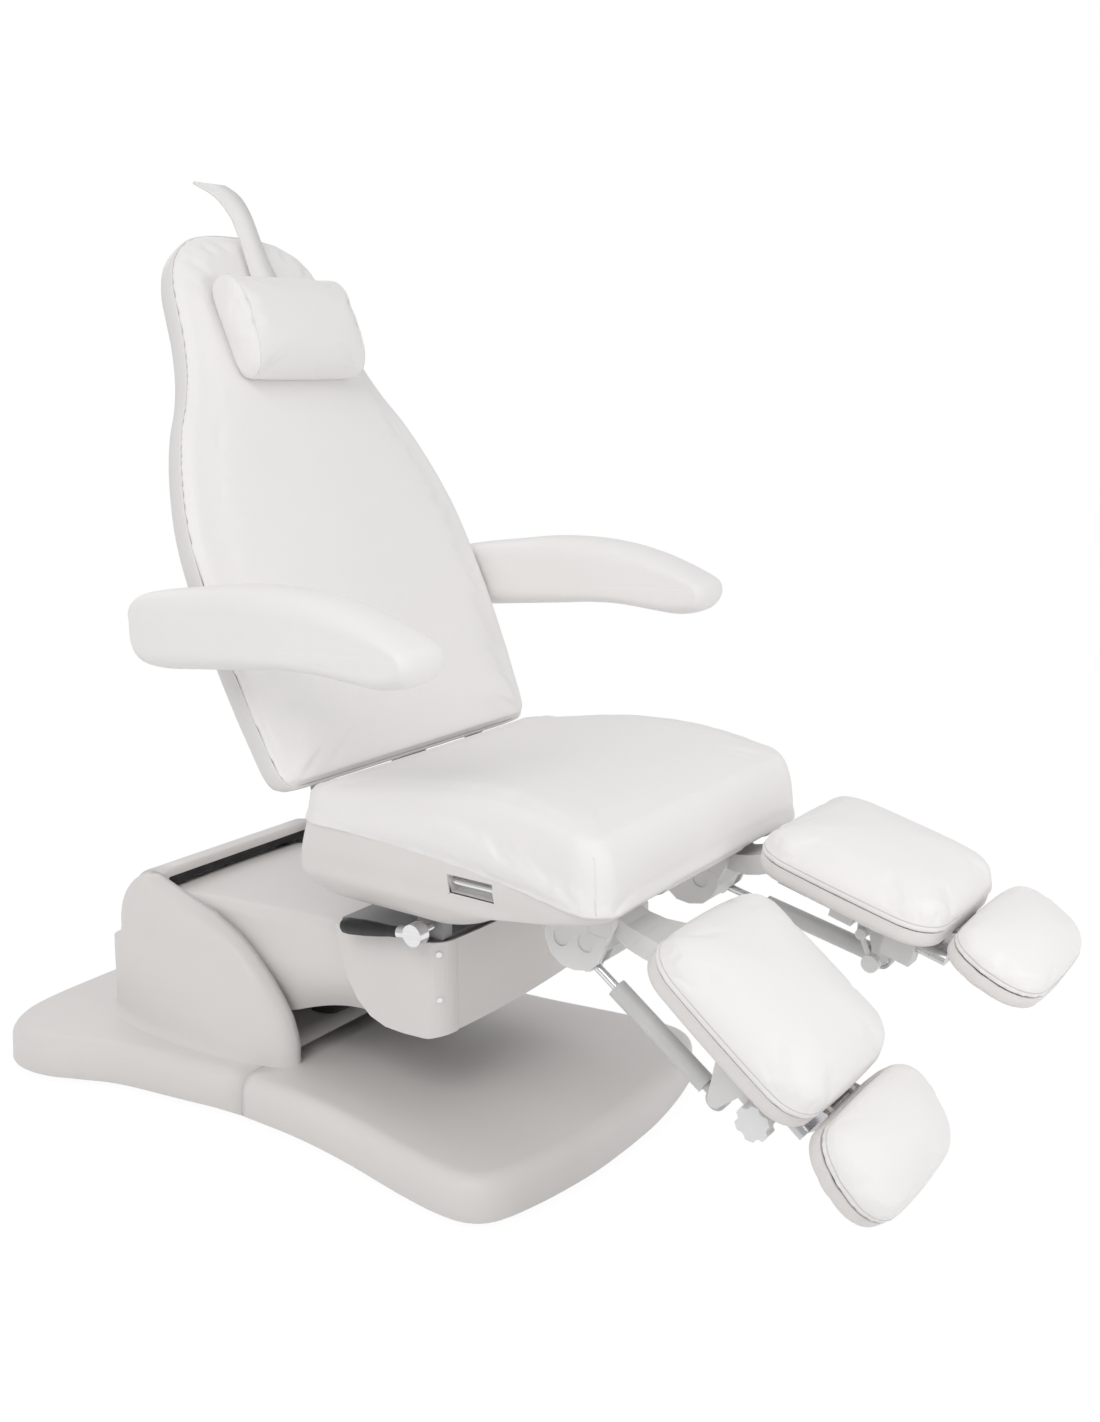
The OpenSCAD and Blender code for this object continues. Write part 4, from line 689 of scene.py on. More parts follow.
# Outer line of the roof and rear wall, and from it the way to the inner line
ROOF_LINE = [[RIM, ROOF_Z - LIP], [RIM, ROOF_Z - 6], [RIM + 8, ROOF_Z], [RIM + 34, ROOF_Z - 3],
             [RIM + 60, ROOF_Z - 18], [RIM + 80, ROOF_Z - 43], [RIM + 94, ROOF_Z - 81],
             [RIM + 104, ROOF_Z - 123], [HOUSE_REAR - 8, ROOF_Z - 203], [HOUSE_REAR, BASE_H + 2]]
ROOF_INWARD = [(-4, 0), (-4, 4), (-3, 5), (0, 5), (3, 4), (3, 2), (4, 1), (4, 0), (4, 0), (4, 0)]
ROOF_STEPS = 5


def fender_rings():
    foot_z = DECK_Z + HOLLOW
    foot = fender_ring(foot_z)
    rings = []
    for a in np.radians(range(0, 90, 9)):
        rings.append(fillet(foot, DECK_Z - FOOT_SINK + HOLLOW * (1 - math.cos(a)),
                            HOLLOW_WIDER * HOLLOW * (1 - math.sin(a))))
    levels = [DECK_Z + s * (FENDER_TOP - DECK_Z) for s in LEVEL_SHARES]
    return rings + [fender_ring(z) for z in levels if z > foot_z + 1]


def roof_rings():
    inner = [[p[0] - d[0], p[1] - d[1]] for p, d in zip(ROOF_LINE, ROOF_INWARD)]
    line = np.vstack([curve(ROOF_LINE, ROOF_STEPS), curve(inner, ROOF_STEPS)[::-1]])
    stations = [-FENDER_X, -120, -60, 0, 60, 120, FENDER_X]
    return [np.column_stack([np.full(len(line), x), line]) for x in stations]


def lift_housing():
    rings = fender_rings()
    mirror = [(r * [-1, 1, 1])[::-1] for r in rings]
    solid("lift_hood", (rings, mirror, [r[::-1] for r in roof_rings()]), PLASTIC, "base",
          replaces=("lift_housing",))


# Dark strip: half its height, its thickness, its ends' distance from the fenders, and how far down it lies
STRIP_R, STRIP_T, STRIP_END, STRIP_DOWN = 6, 3, 16, 20.5


def slot_strip():
    """The dark brush strip under the rim of the roof, over the arm's hood."""
    a = np.radians(np.arange(0, 181, 15))
    end = FENDER_X - STRIP_END
    o = np.vstack([np.column_stack([-end - STRIP_R * np.sin(a), STRIP_R * np.cos(a)]),
                   np.column_stack([end + STRIP_R * np.sin(a), -STRIP_R * np.cos(a)])])
    y, z = RIM - 1, ROOF_Z - STRIP_DOWN
    rings = [np.column_stack([o[:, 0], np.full(len(o), y + d), z + o[:, 1]]) for d in (0, STRIP_T)]
    solid("slot_strip", (rings,), DARK, "base", smooth=False)


lift_housing()
slot_strip()


# Arm cover and column

# Ends of the arm's hood along the chair, its top at the front and how far that falls to the rear
COVER_FRONT, COVER_BACK = 136, LIFT_Y + 88
COVER_TOP, COVER_FALL = 331, 27
# Its lower edge: height, rise to the front, dip at the rear and the length of that, and lift at the end
COVER_LOW, LOW_RISE, LOW_DIP, LOW_DIP_LEN, LOW_END = 160, 42, 20, 120, 40
LOW_MID = LIFT_Y - 219
COVER_EDGE, COVER_CROWN, STRAIGHT_SHARE = 20, 2.5, 0.6


def cover_high(y):
    return COVER_TOP - COVER_FALL * ((max(0, y - COVER_FRONT)) / (COVER_BACK - COVER_FRONT)) ** 1.4


def cover_low(y):
    if y < LOW_MID:
        return COVER_LOW + LOW_RISE * math.sin(math.radians(90 * (LOW_MID - y) / (LOW_MID - COVER_FRONT)))
    dip = LOW_DIP * math.sin(math.radians(90 * min(1, (y - LOW_MID) / LOW_DIP_LEN)))
    return COVER_LOW - dip + LOW_END * max(0, (y - LIFT_Y) / (COVER_BACK - LIFT_Y))


def cover_section(y, d, n=10):
    hw, zt, zb, r = ARM_COVER_HW - d, cover_high(y) - d, cover_low(y), COVER_EDGE - d
    a = np.radians(90 * np.arange(n + 1) / n)
    right = np.column_stack([hw - r + r * np.cos(a), zt - r + r * np.sin(a)])
    left = np.column_stack([r - hw + r * np.cos(a + math.pi / 2), zt - r + r * np.sin(a + math.pi / 2)])
    top = [[x, zt + COVER_CROWN * (1 - (x / (hw - r)) ** 2)] for x in np.linspace(hw - r, r - hw, 9)[1:-1]]
    straight = zb + STRAIGHT_SHARE * (zt - zb - r)
    return np.vstack([[[hw, zb], [hw, straight]], right, top, left, [[-hw, straight], [-hw, zb]]])


def arm_cover():
    bm = bmesh.new()
    rings = []
    for y in np.linspace(COVER_BACK, COVER_FRONT, 60):
        o, q = cover_section(y, 0), cover_section(y, WALL)[::-1]
        s = np.vstack([o, q])
        rings.append(np.column_stack([s[:, 0], np.full(len(s), y), s[:, 1]]))
    rows = skin_into(bm, rings, caps=False)
    n = len(rows[0])
    for row, flip in ((rows[0], True), (rows[-1], False)):
        for i in range(n // 2 - 1):
            f = (row[i], row[i + 1], row[n - 2 - i], row[n - 1 - i])
            bm.faces.new(f[::-1] if flip else f)
    bmesh.ops.recalc_face_normals(bm, faces=bm.faces)
    finish_mesh("arm_hood", bm, PLASTIC, "lift_arm", replaces=("arm_cover",))


arm_cover()

dress("column_cover", PLASTIC, 1.2)
dress("column_panel", PLASTIC, 0.8)

# Seat

def smoothed(o):
    m = o.modifiers.new("smooth", "SUBSURF")
    m.levels = 1
    m.render_levels = 1


def vectors(mesh, name):
    """The places or normals of all vertices, a row each."""
    v = np.empty(3 * len(mesh.vertices))
    mesh.vertices.foreach_get(name, v)
    return v.reshape(-1, 3)


def settle(o, held, voxel=0.0055, slack=0.0025, cap=0.005, pressure=6.0, last=20):
    """Foam in its cover: the piece starts slack, is blown up as cloth, and keeps what it held."""
    dg = bpy.context.evaluated_depsgraph_get()
    trial = new_object("trial", o.data.copy())
    m = trial.modifiers.new("even", "REMESH")
    m.mode = "VOXEL"
    m.voxel_size = voxel
    m.use_smooth_shade = True
    dg.update()
    even = bpy.data.meshes.new_from_object(trial.evaluated_get(dg))
    trial.modifiers.clear()
    trial.data = even
    start = vectors(even, "co")
    free = ~held(start / MM)
    start = start - vectors(even, "normal") * slack * free[:, None]
    even.vertices.foreach_set("co", start.ravel())
    even.update()
    group = trial.vertex_groups.new(name="held")
    group.add([int(i) for i in np.nonzero(~free)[0]], 1.0, "ADD")
    cloth = trial.modifiers.new("cloth", "CLOTH")
    cloth.settings.use_pressure = True
    cloth.settings.uniform_pressure_force = pressure
    cloth.settings.effector_weights.gravity = 0.0
    cloth.settings.vertex_group_mass = "held"
    cloth.settings.quality = 4
    cloth.point_cache.frame_start = 1
    cloth.point_cache.frame_end = last
    for f in range(1, last + 1):
        scene.frame_set(f)
    dg = bpy.context.evaluated_depsgraph_get()
    move = vectors(trial.evaluated_get(dg).to_mesh(), "co") - start
    length = np.linalg.norm(move, axis=1)
    move *= (np.minimum(length, cap) / np.maximum(length, 1e-9))[:, None]
    trial.evaluated_get(dg).to_mesh_clear()
    trial.modifiers.clear()
    even.vertices.foreach_set("co", (start + move).ravel())
    even.update()
    scene.frame_set(1)
    bpy.data.objects.remove(trial)
    even.materials.clear()
    even.materials.append(VINYL)
    for f in even.polygons:
        f.use_smooth = True
    o.data = even
    smoothed(o)


# Meshes that were blown up, one for each kind of cushion
MADE = {}


def padded_piece(name, rings, body, node, place=None, *, held, kind, low=None, high=None,
                 seams=()):
    """A cushion: its rings, blown up once a kind, and then put in its place."""
    o = skin(name, rings, VINYL, body, None, replaces=(node,), low=low, high=high)
    if kind in MADE:
        o.data = MADE[kind].copy()
        smoothed(o)
    else:
        settle(o, held)
        MADE[kind] = o.data.copy()
    for i, (path, radius, up, mat) in enumerate(seams):
        bead(f"{name}_seam_{i + 1}", o.data, path, radius, up, mat, body, place)
    if place is not None:
        o.data.transform(place)
    return o


def bead(name, mesh, path, radius, up, mat, body, place):
    """A piped or sewn line laid on the nearest surface of a finished cushion."""
    tree = BVHTree.FromPolygons([v.co[:] for v in mesh.vertices], [p.vertices[:] for p in mesh.polygons])
    points = []
    for p in path:
        spot, normal, _, _ = tree.find_nearest(Vector(p) * MM)
        points.append((spot + normal * up * MM) / MM)
    points = np.array(points)
    for _ in range(3):
        points = (np.roll(points, 1, axis=0) + 2 * points + np.roll(points, -1, axis=0)) / 4
    return tube(name, points, radius, mat, body, place, sides=8)


# Corner radii of the seat, front and rear, and the draw of its sides
SEAT_CORNERS, SIDE_PULL = (52, 50), 4
# The top's rise from its edges to its hump, the power that sets the hump back, and the hollow for the sitter
SEAT_HUMP, HUMP_POWER, SEAT_DISH = SEAT_T * 0.66, 1.3, 14
SEAT_EDGE_RISE = SEAT_T - 6
# Foot of the cushion: how far it is drawn in, and its height over the lower edge
SEAT_FOOT = ((5, 0), (1.5, 2), (0, 6))
# Edge of the cushion: how far it is drawn in, the share of the height it lies below the top, and the share
# of the hollow
SEAT_EDGE = ((0, 0.62, 0), (1.2, 0.5, 0), (3, 0.39, 0), (6, 0.27, 0), (10, 0.17, 0), (14, 0.1, 0.05),
             (18, 0.055, 0.1), (22, 0.02, 0.15), (27, 0, 0.22))
BELLY, BELLY_DROP = 1.5, 0.72
# Sewn line at each front corner: place, upper and lower end, and step
CORNER_SEAM, SEAM_TOP, SEAM_FOOT, SEAM_STEP = (285, -360), 586, 498, 4


def seat_height(t):
    return SEAT_EDGE_RISE + SEAT_HUMP * np.sin(np.radians(180 * t ** HUMP_POWER))


def seat_dish(x, t):
    return SEAT_DISH * (1 - (x / (SEAT_W / 2)) ** 2) * np.minimum(1, 3 * t) * (1 - t ** 3)


def seat_share(y):
    """0 at the rear edge of the seat and 1 at its front edge."""
    return np.clip((SEAT_LEN - SEAT_FRONT - y) / SEAT_LEN, 0, 1)


def seat_floor(y):
    """Lower edge of the seat cushion: it falls towards the front."""
    return SEAT_Z - SEAT_DROP * seat_share(y) ** 2


def seat_ring(o, drop, k):
    t = seat_share(o[:, 1])
    low = seat_floor(o[:, 1])
    return at_z(o, low + (SEAT_Z + seat_height(t) - low) * (1 - drop) - k * seat_dish(o[:, 0], t))


def corner_seams():
    x, y = CORNER_SEAM
    lines = []
    for e in (-1, 1):
        down = [[e * x, y, z] for z in range(SEAM_TOP, SEAM_FOOT, -SEAM_STEP)]
        back_up = [[e * (x - 1), y - 1, p[2]] for p in down[::-1]]
        lines.append((np.array(down + back_up), 0.6, -0.35, PIPING))
    return lines


def seat():
    o = round_rect(SEAT_W / 2, -SEAT_FRONT, SEAT_LEN - SEAT_FRONT, *SEAT_CORNERS, SIDE_PULL)
    c = (0, SEAT_LEN / 2 - SEAT_FRONT)
    rear = (0.6, (0, 1))
    rings = [at_z(inset(o, d), seat_floor(inset(o, d)[:, 1]) + z) for d, z in SEAT_FOOT]
    rings.append(seat_ring(inset(o, -BELLY), BELLY_DROP, 0))
    rings += [seat_ring(inset(o, d, rear), drop, k) for d, drop, k in SEAT_EDGE]
    last, _, dish = SEAT_EDGE[-1]
    inner = inset(o, last, rear)
    for k in np.linspace(0.95, 0.05, 16):
        f = min(1, dish + (1 - dish) * (1 - k) * 3.2)
        rings.append(seat_ring(shrink(inner, c, k), 0, f))
    mid = SEAT_Z + float(seat_height(np.array(0.5))) - float(seat_dish(np.array(0.0), np.array(0.5)))
    padded_piece("seat_cushion_soft", rings, "seat", "seat_cushion", low=(c[0], c[1], SEAT_Z),
                 high=(c[0], c[1], mid), held=lambda p: p[:, 2] < seat_floor(p[:, 1]) + 5, kind="seat",
                 seams=corner_seams())


seat()


# Least corner radius of a pad, and how far its side bulges
LEAST_R, BELLY_OUT = 7, 1.2


def rect_outline(hw, y0, y1, r0, r1, pull=0.0):
    """A rounded rectangle as a function of how far it is drawn in."""
    def outline(d):
        return round_rect(hw - d, y0 + d, y1 - d, max(r0 - d, LEAST_R), max(r1 - d, LEAST_R), pull, 12, 12)

    return outline


def cushion_rings(o, c, z0, side, edge, crown, foot=4):
    """Rings of a domed cushion, whose outline o is a function of how far it is drawn in."""
    top = z0 + side
    rings = [at_z(o(foot), z0), at_z(o(foot * 0.3), z0 + foot * 0.35), at_z(o(0), z0 + foot)]
    if top - edge > z0 + foot + 4:
        rings.append(at_z(o(-BELLY_OUT), (z0 + foot + top - edge) / 2))
    for a in np.radians([0, 11, 22, 34, 45, 56, 67, 79, 90]):
        rings.append(at_z(o(edge * (1 - math.cos(a))), top - edge + edge * math.sin(a)))
    inner = o(edge)
    for t in np.linspace(0, 1, 13)[1:-1]:
        rings.append(at_z(shrink(inner, c, 1 - t), top + crown * (1 - (1 - t) ** 2)))
    return rings


def leg_place(side):
    return (Matrix.Translation(Vector((SIDE[side] * LEG_X, LEG_H[0], LEG_H[1])) * MM)
            @ Matrix.Rotation(math.radians(TILT[side]), 4, "X"))


# Hinge of the foot in the leg's own frame, and the foot's angle to the leg
FOOT_HINGE, FOOT_TILT = (-372, 56), 14


def foot_place(side):
    return (leg_place(side) @ Matrix.Translation(Vector((0, *FOOT_HINGE)) * MM)
            @ Matrix.Rotation(math.radians(FOOT_TILT), 4, "X"))


def tray_rings(o, z0, z1, r):
    rings = [at_z(inset(o, r * (1 - math.sin(a))), z0 + r * (1 - math.cos(a)))
             for a in np.radians([0, 15, 30, 45, 60, 75, 90])]
    rings += [at_z(o, z1 - 1), at_z(inset(o, 0.8), z1), at_z(inset(o, WALL), z1),
              at_z(inset(o, WALL), z0 + r), at_z(inset(o, WALL + r * 0.6), z0 + WALL)]
    return rings


# Pads of leg and foot, each in its own frame: how far they are drawn in from LEG_W, their ends, corner radii
# and side draw, then the height of the foot, of the side, of the edge and of the crown
LEG_PAD = {"drawn": 7, "ends": (-365, -83), "radii": (56, 54), "pull": -2,
           "z": 80, "side": 46, "edge": 34, "crown": 15, "held": 6, "seam": 11}
FOOT_PAD = {"drawn": 11, "ends": (16 - FOOT_LEN, 2), "radii": (64, 44), "pull": -3,
            "z": 28, "side": 36, "edge": 30, "crown": 14, "held": 5, "seam": 10}
# Trays below them: how much smaller they are, their underside, the gap to the pad, and the round of the edge
TRAY_IN, LEG_TRAY_Z, FOOT_TRAY_Z, TRAY_GAP, TRAY_R = 2, 56, 6, 0.3, 9
# Lugs of the foot's tray: profile round the hinge, and inner and outer face
FOOT_LUG = [[-50, 5], [-9, -9], [0, -11], [8, -8], [11, 0], [8, 8], [0, 11], [-20, 12], [-50, 8]]
LUG_FACES = (30, 39.5)
PAD_FOOT, SEAM_R, SEAM_UP = 3, 1.1, -0.35


def limb_pad(part, side, pad, node, mid, top, place):
    """A pad of a leg or foot, with the sewn line round its side: a sunk bead whose darker grey is painted
    shade of the seam's crease.
    """
    o = rect_outline(LEG_W / 2 - pad["drawn"], *pad["ends"], *pad["radii"], pad["pull"])
    rings = cushion_rings(o, (0, mid), pad["z"], pad["side"], pad["edge"], pad["crown"], foot=PAD_FOOT)
    line = at_z(spread(o(0), 4), pad["z"] + pad["seam"])
    padded_piece(f"{part}_pad_{side}", rings, f"{part}_{side}", f"{node}_{side}", place, high=(0, mid, top),
                 held=lambda p: p[:, 2] < pad["z"] + pad["held"], kind=part,
                 seams=((line, SEAM_R, SEAM_UP, SEAM_SHADE),))


def limb_tray(pad, low):
    o = round_rect(LEG_W / 2 - pad["drawn"] - TRAY_IN, pad["ends"][0] + TRAY_IN, pad["ends"][1] - TRAY_IN,
                   pad["radii"][0] - TRAY_IN, pad["radii"][1] - TRAY_IN, pad["pull"])
    return tray_rings(o, low, pad["z"] - TRAY_GAP, TRAY_R)


def foot_tray(side):
    lugs = [[[[e * x, *p] for p in FOOT_LUG] for x in LUG_FACES] for e in (-1, 1)]
    o = solid(f"foot_tray_{side}", [limb_tray(FOOT_PAD, FOOT_TRAY_Z)] + lugs, PLASTIC, f"foot_{side}",
              foot_place(side), replaces=(f"foot_shell_{side}",))
    o.data.set_sharp_from_angle(angle=math.radians(50))


for s in SIDE:
    limb_pad("leg", s, LEG_PAD, "leg_cushion", -225.5, 141, leg_place(s))
    skin(f"leg_tray_{s}", limb_tray(LEG_PAD, LEG_TRAY_Z), PLASTIC, f"leg_{s}", leg_place(s),
         replaces=(f"leg_shell_{s}",))
    limb_pad("foot", s, FOOT_PAD, "foot_cushion", 9 - FOOT_LEN / 2, 78, foot_place(s))
    foot_tray(s)

# Seat pan

# Levels of the pan: height, half width, front end and rear end, before the fall to the front
PAN = curve([[545, 293, -365, 155], [508, 291, -362, 168], [482, 285, -335, 179], [456, 277, -215, 185],
             [424, 244, -128, 189], [400, 207, -96, 189]], 5)
PAN_CORNERS = (60, 40)
# Hole over the column: half width, ends, corner radius, lower and upper height
PAN_HOLE, HOLE_R, HOLE_LOW, HOLE_HIGH = (130, -86, 176), 30, 396, 400
PAN_FLOOR = [HOLE_HIGH, 205, -94, 187]
# Leg hinge's barrel: radius, half width, and its post
BARREL_R, BARREL_W, POST_D = 17, 35, 30
BARREL_ROOM, BARREL_END, POST_BACK, POST_ROOM, POST_ENDS = 3.5, 16, 55, 0.5, (380, 500)
# Rear opening: half width, ends along the seat and heights
REAR_CUT = (205, 150, 205, 440, 561)
# Pocket of a side bar: inner face, outer face, ends along the seat and heights
POCKET = (262, 320, -200, -124, 487, 515)
# Room for the neck of a leg at full height: half width, ends along the seat and heights
NECK_ROOM = (44, -376, -316, 440, 489)
# Lining of the pocket: its back, its mouth, its ends and heights, and its wall
LINER, LINER_WALL = (270, 287, -202, -122, 485, 517), 2


def pan_ring(level, d):
    p = round_rect(level[1] - d, level[2] + d, level[3] - d, *PAN_CORNERS, 0, 12, 9)
    rise = min(1, max(0, (level[0] - PAN[-1][0]) / (PAN[0][0] - PAN[-1][0])))
    return at_z(p, level[0] - SEAT_DROP * rise ** 3 * seat_share(p[:, 1]) ** 2)


def pan_cutters():
    hw, *rest = REAR_CUT
    cutters = [box_mesh(-hw, hw, *rest)]
    for e in (-1, 1):
        cutters.append(box_mesh(*sorted((e * POCKET[0], e * POCKET[1])), *POCKET[2:]))
        a, b = LEG_X - BARREL_W - BARREL_END, LEG_X + BARREL_W + BARREL_END
        cutters.append(rod_mesh((e * a, *LEG_H), (e * b, *LEG_H), BARREL_R + BARREL_ROOM))
        x = sorted((e * (LEG_X - NECK_ROOM[0]), e * (LEG_X + NECK_ROOM[0])))
        cutters.append(box_mesh(*x, *NECK_ROOM[1:]))
        foot, top = ((e * LEG_X, LEG_H[0] + POST_BACK, z) for z in POST_ENDS)
        cutters.append(rod_mesh(foot, top, POST_D / 2 + POST_ROOM))
    return cutters


def seat_pan():
    hole = round_rect(*PAN_HOLE, HOLE_R, HOLE_R, 0, 12, 9)
    rings = [at_z(hole, HOLE_LOW)] + [pan_ring(v, 0) for v in PAN[::-1]]
    rings += [pan_ring(v, WALL) for v in PAN[:-1]] + [pan_ring(PAN_FLOOR, WALL), at_z(hole, HOLE_HIGH)]
    o = skin("seat_pan_smooth", rings, PLASTIC, "seat", replaces=("seat_pan",), loop=True)
    carve(o, pan_cutters())


def slot_liner(side):
    """The light pocket behind the bar in the side of the pan: a back and four walls."""
    deep, mouth, y0, y1, z0, z1 = LINER
    t = LINER_WALL
    bm = bmesh.new()
    for x0, x1, ya, yb, za, zb in ((deep - t, deep, y0, y1, z0, z1), (deep, mouth, y0, y1, z0, z0 + t),
                                   (deep, mouth, y0, y1, z1 - t, z1), (deep, mouth, y0, y0 + t, z0, z1),
                                   (deep, mouth, y1 - t, y1, z0, z1)):
        mesh = mesh_of("wall", box_mesh(*sorted((SIDE[side] * x0, SIDE[side] * x1)), ya, yb, za, zb))
        bm.from_mesh(mesh)
        bpy.data.meshes.remove(mesh)
    finish_mesh(f"slot_liner_{side}", bm, PLASTIC_SIDE, "seat", smooth=False)


seat_pan()
for s in SIDE:
    slot_liner(s)

# Back

BACK_PLACE = (Matrix.Translation(Vector((0, 173, 584)) * MM)
              @ Matrix.Rotation(math.radians(90 - RECLINE), 4, "X"))
# Half outline of the backrest from foot to top, as shares of half its width and of its length
BACK_HALF = [[0, 0], [0.3, 0], [0.6, 0], [0.84, 0.001], [0.915, 0.009], [0.952, 0.035], [0.968, 0.08],
             [0.987, 0.15], [1, 0.24], [1, 0.33], [0.985, 0.42], [0.95, 0.487], [0.88, 0.565],
             [0.795, 0.632], [0.7, 0.687], [0.632, 0.74], [0.582, 0.8], [0.553, 0.855], [0.525, 0.9],
             [0.45, 0.951], [0.32, 0.985], [0.16, 0.998], [0, 1]]
# How far the outline reaches below the hinge end, and the spacing of its points
BACK_FOOT, BACK_STEP = 5, 12
BACK_RING = spread(mirrored(curve([[a * BACK_W / 2, b * (BACK_LEN + BACK_FOOT) - BACK_FOOT]
                                   for a, b in BACK_HALF], 8)), BACK_STEP)
BACK_MID = (0, BACK_LEN * 0.45)
# Pad: where its foot lies, its edge and crown. It is drawn in less at the foot of the backrest
PAD_Z, PAD_EDGE, PAD_CROWN, PAD_TOP = -2, 18, 9, 29
# Shell: height from its rear face, and how far it is drawn in there, then its rim
SHELL_ROUND = ((0, 44), (1, 34), (3, 25), (6, 17), (10, 11), (16, 6), (24, 2.5), (31, 0.8), (38, 0))
SHELL_RIM, RIM_EASE = -0.5, 1.2
SHELL_INSIDE = ((38, 0), (10, 11), (WALL, 44))


def back_edge(d):
    return inset(BACK_RING, d, (0.5, (0, -1)))


def back():
    rings = cushion_rings(back_edge, BACK_MID, PAD_Z, BACK_T, PAD_EDGE, PAD_CROWN)
    padded_piece("back_pad", rings, "back", "back_cushion", BACK_PLACE, high=(*BACK_MID, PAD_TOP),
                 held=lambda p: p[:, 2] < 2, kind="back")
    rings = [at_z(inset(BACK_RING, d), z - SHELL_DEPTH) for z, d in SHELL_ROUND]
    rings += [at_z(BACK_RING, SHELL_RIM - RIM_EASE), at_z(inset(BACK_RING, RIM_EASE), SHELL_RIM),
              at_z(inset(BACK_RING, WALL), SHELL_RIM)]
    rings += [at_z(inset(BACK_RING, WALL + d), z - SHELL_DEPTH) for z, d in SHELL_INSIDE]
    skin("back_shell_smooth", rings, PLASTIC_SIDE, "back", BACK_PLACE,
         replaces=("back_shell",), low=(*BACK_MID, -SHELL_DEPTH), high=(*BACK_MID, WALL - SHELL_DEPTH))


back()

# Head pillow and its strap

# Where the pillow lies on the backrest: along it, and out from it
PILLOW_AT = (700, 27.6)
# Its profile along the backrest and out from it, the middle of that, and its half length with its round ends
PILLOW_LINE = [[0, 0], [-50, 0], [-72, 1.5], [-82, 8], [-86, 20], [-84, 34], [-74, 48], [-54, 58], [-20, 65],
               [18, 67], [50, 64], [71, 55], [83, 42], [87, 26], [84, 11], [74, 2], [50, 0], [0, 0]]
PILLOW_MID, PILLOW_HALF, PILLOW_ROUND = (0.0, 31.0), 130, 17
END_SHRINK, MID_SWELL, TIP_OUT, PIPING_X = 0.34, 0.015, 2, 118
# Strap: path along the backrest and out from it, half thickness, and half width along the path
STRAP_PATH = [[778.9, 35], [800, 34], [830, 33], [870, 33], [906, 31], [945, 18], [981, -10]]
STRAP_HALF_T, STRAP_W = 2.2, 56
STRAP_SHARES = (0, 0.25, 0.45, 0.62, 0.8, 0.94, 1)
STRAP_HALF_WIDTHS = (29, 25, 21.5, 22, 27, 33, 34)


def pillow_rings():
    line = spread(curve(PILLOW_LINE, 6), 5)[::-1]
    mid = np.array(PILLOW_MID)
    half, r = PILLOW_HALF, PILLOW_ROUND
    ends = [(half - r + r * math.sin(a), 1 - END_SHRINK * (1 - math.cos(a)) ** 1.1)
            for a in np.radians(range(0, 91, 10))]
    stations = [(-x, k) for x, k in ends[::-1]] + [(x, 1.0) for x in np.linspace(-100, 100, 15)] + ends
    rings = []
    for x, k in stations:
        q = shrink(line, mid, k * (1 + MID_SWELL * (1 - (x / half) ** 2)))
        rings.append(np.column_stack([np.full(len(q), x), q]))
    piping = []
    for x in (-PIPING_X, PIPING_X):
        piping.append((np.column_stack([np.full(len(line), x), shrink(line, mid, 1.0)]), 1.2, 0.0, PIPING))
    return rings, piping


def pillow():
    rings, piping = pillow_rings()
    tip = PILLOW_HALF + TIP_OUT
    padded_piece("pillow_soft", rings, "pillow", "head_pillow",
                 BACK_PLACE @ Matrix.Translation(Vector((0, *PILLOW_AT)) * MM),
                 low=(-tip, *PILLOW_MID), high=(tip, *PILLOW_MID),
                 held=lambda p: p[:, 2] < 3, kind="pillow", seams=piping)


def strap():
    path = curve(STRAP_PATH, 8)
    n = len(path)
    rings = []
    for i in range(n):
        t = path[min(i + 1, n - 1)] - path[max(i - 1, 0)]
        t = t / np.linalg.norm(t)
        q = np.array([-t[1], t[0]]) * STRAP_HALF_T
        w = float(np.interp(i / (n - 1), STRAP_SHARES, STRAP_HALF_WIDTHS))
        rings.append([[x * w, path[i][0] + e * q[0], path[i][1] + e * q[1]]
                      for x, e in ((-1, -1), (-1, 1), (0, 1), (1, 1), (1, -1), (0, -1))])
    o = skin("pillow_band", rings, VINYL, "pillow", BACK_PLACE, replaces=("pillow_strap",))


pillow()
strap()

# Armrests

# Both lines are drawn in the frame of the first fit, where an armrest was 577 long and ended at 361
FIT_LEN, FIT_REAR, FIT_SEAT_Z = 577, 361, 541
ARM_REAR = ARM_LEN - 161
# Sides: how far they are drawn in, the share of the height at the faces, and the power that squares them
SIDE_IN, SIDE_SHARE, SIDE_POWER, SIDE_STEPS = 12, 0.46, 2.5, 28
BASE_LINE = [[-213, 829], [-214, 812], [-204, 794], [-182, 785], [-150, 781], [-110, 783], [-34, 788],
             [40, 786], [111, 779], [220, 769], [285, 763], [325, 763], [346, 769], [355, 784], [357, 806],
             [357, 832]]
PAD_LINE = [[357, 832], [357, 850], [348, 864], [322, 872], [210, 886], [130, 895], [40, 897], [-37, 891],
            [-100, 879], [-150, 864], [-186, 850], [-205, 840], [-213, 829]]


def arm_pt(y, z):
    return [ARM_REAR - (FIT_REAR - y) * ARM_LEN / FIT_LEN, SEAT_Z + z - FIT_SEAT_Z]


# Ends of the seam between base and pad
SEAM_A, SEAM_B = arm_pt(-209, 826.5), arm_pt(354, 832.5)


def seam_z(y):
    return SEAM_A[1] + (y - SEAM_A[0]) * (SEAM_B[1] - SEAM_A[1]) / (SEAM_B[0] - SEAM_A[0])


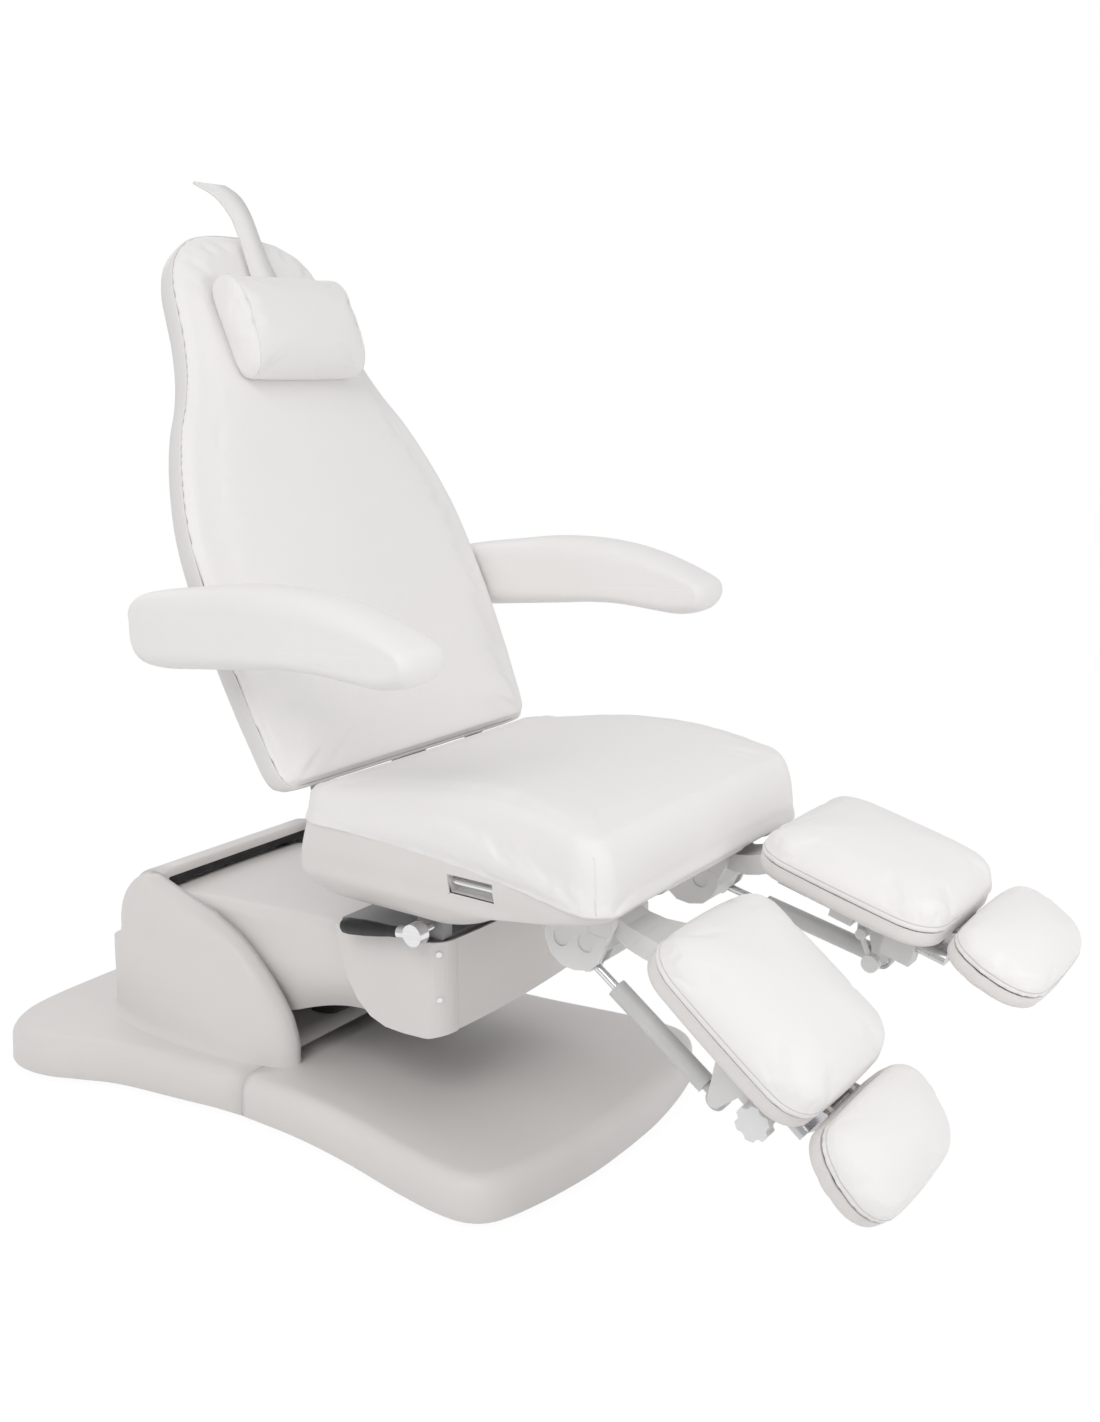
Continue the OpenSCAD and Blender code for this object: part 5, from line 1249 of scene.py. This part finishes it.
def side_rings(o, x0, x1):
    """Rings of a closed outline across the armrest, drawn towards the seam at its two faces."""
    c = (SEAM_A[0] + SEAM_B[0]) / 2
    out = []
    for i in range(SIDE_STEPS + 1):
        t = -math.cos(math.pi * i / SIDE_STEPS)
        f = max(0.0, 1 - abs(t) ** SIDE_POWER) ** (1 / SIDE_POWER)
        g = SIDE_SHARE + (1 - SIDE_SHARE) * f
        k = 1 - 2 * SIDE_IN * (1 - f) / ARM_LEN
        x = (x0 + x1) / 2 + t * (x1 - x0) / 2
        sz = seam_z(o[:, 0])
        out.append(np.column_stack([np.full(len(o), x), c + (o[:, 0] - c) * k, sz + (o[:, 1] - sz) * g]))
    return out


def armrest(side):
    x0 = ARM_GAP / 2
    base = curve([arm_pt(*q) for q in BASE_LINE], 5)
    pad = curve([arm_pt(*q) for q in PAD_LINE], 5)
    y = np.linspace(base[0][0], base[-1][0], 24)
    seam = np.column_stack([y, np.interp(y, [base[0][0], base[-1][0]], [base[0][1], base[-1][1]])])
    for name, line, back, slot in (("base", base, seam[::-1], "cover_plastic"),
                                   ("pad", pad, seam, "upholstery")):
        rings = side_rings(np.vstack([line, back[1:-1]]), x0, x0 + ARM_W)
        if SIDE[side] < 0:
            rings = [(r * [-1, 1, 1])[::-1] for r in rings]
        o = solid(f"arm_{name}_{side}", (rings,), VINYL, f"armrest_{side}",
                  replaces=(f"armrest_{name}_{side}",))
        o.data.set_sharp_from_angle(angle=math.radians(50))


for s in SIDE:
    armrest(s)

# Frame nodes that stay

for n in ("base_frame", "lift_arm", "tie_link", "carrier_head", "turntable", "seat_frame", "back_frame"):
    dress(n, FRAME_STEEL, 0.8, 1)
for n in ("lift_motor", "tilt_motor", "back_motor"):
    dress(n, MOTOR, 0.8, 1)
for n in ("lift_rod", "tilt_rod", "back_rod", "lift_pins", "carrier_pins", "column_screws", "swivel_bearing",
          "seat_side_bars", "back_hinge_pins", "lever_rod"):
    dress(n, CHROME, 0.5, 2)
for s in SIDE:
    for n, mat, bevel, seg in (("leg_bracket", CAST, 2.0, 3), ("leg_neck", CAST, 1.5, 2),
                               ("strut_rod", CHROME, 0.4, 1), ("strut_tube", STRUT, 1.0, 2),
                               ("foot_slider", SATIN, 0.8, 2), ("clamp_knob", KNOB, 1.5, 3),
                               ("foot_lever", KNOB, 1.5, 3)):
        dress(f"{n}_{s}", mat, bevel, seg)
dress("lever_grip", GRIP, 0.5, 2)
dress("base_feet", FOOT, 1.0, 2)
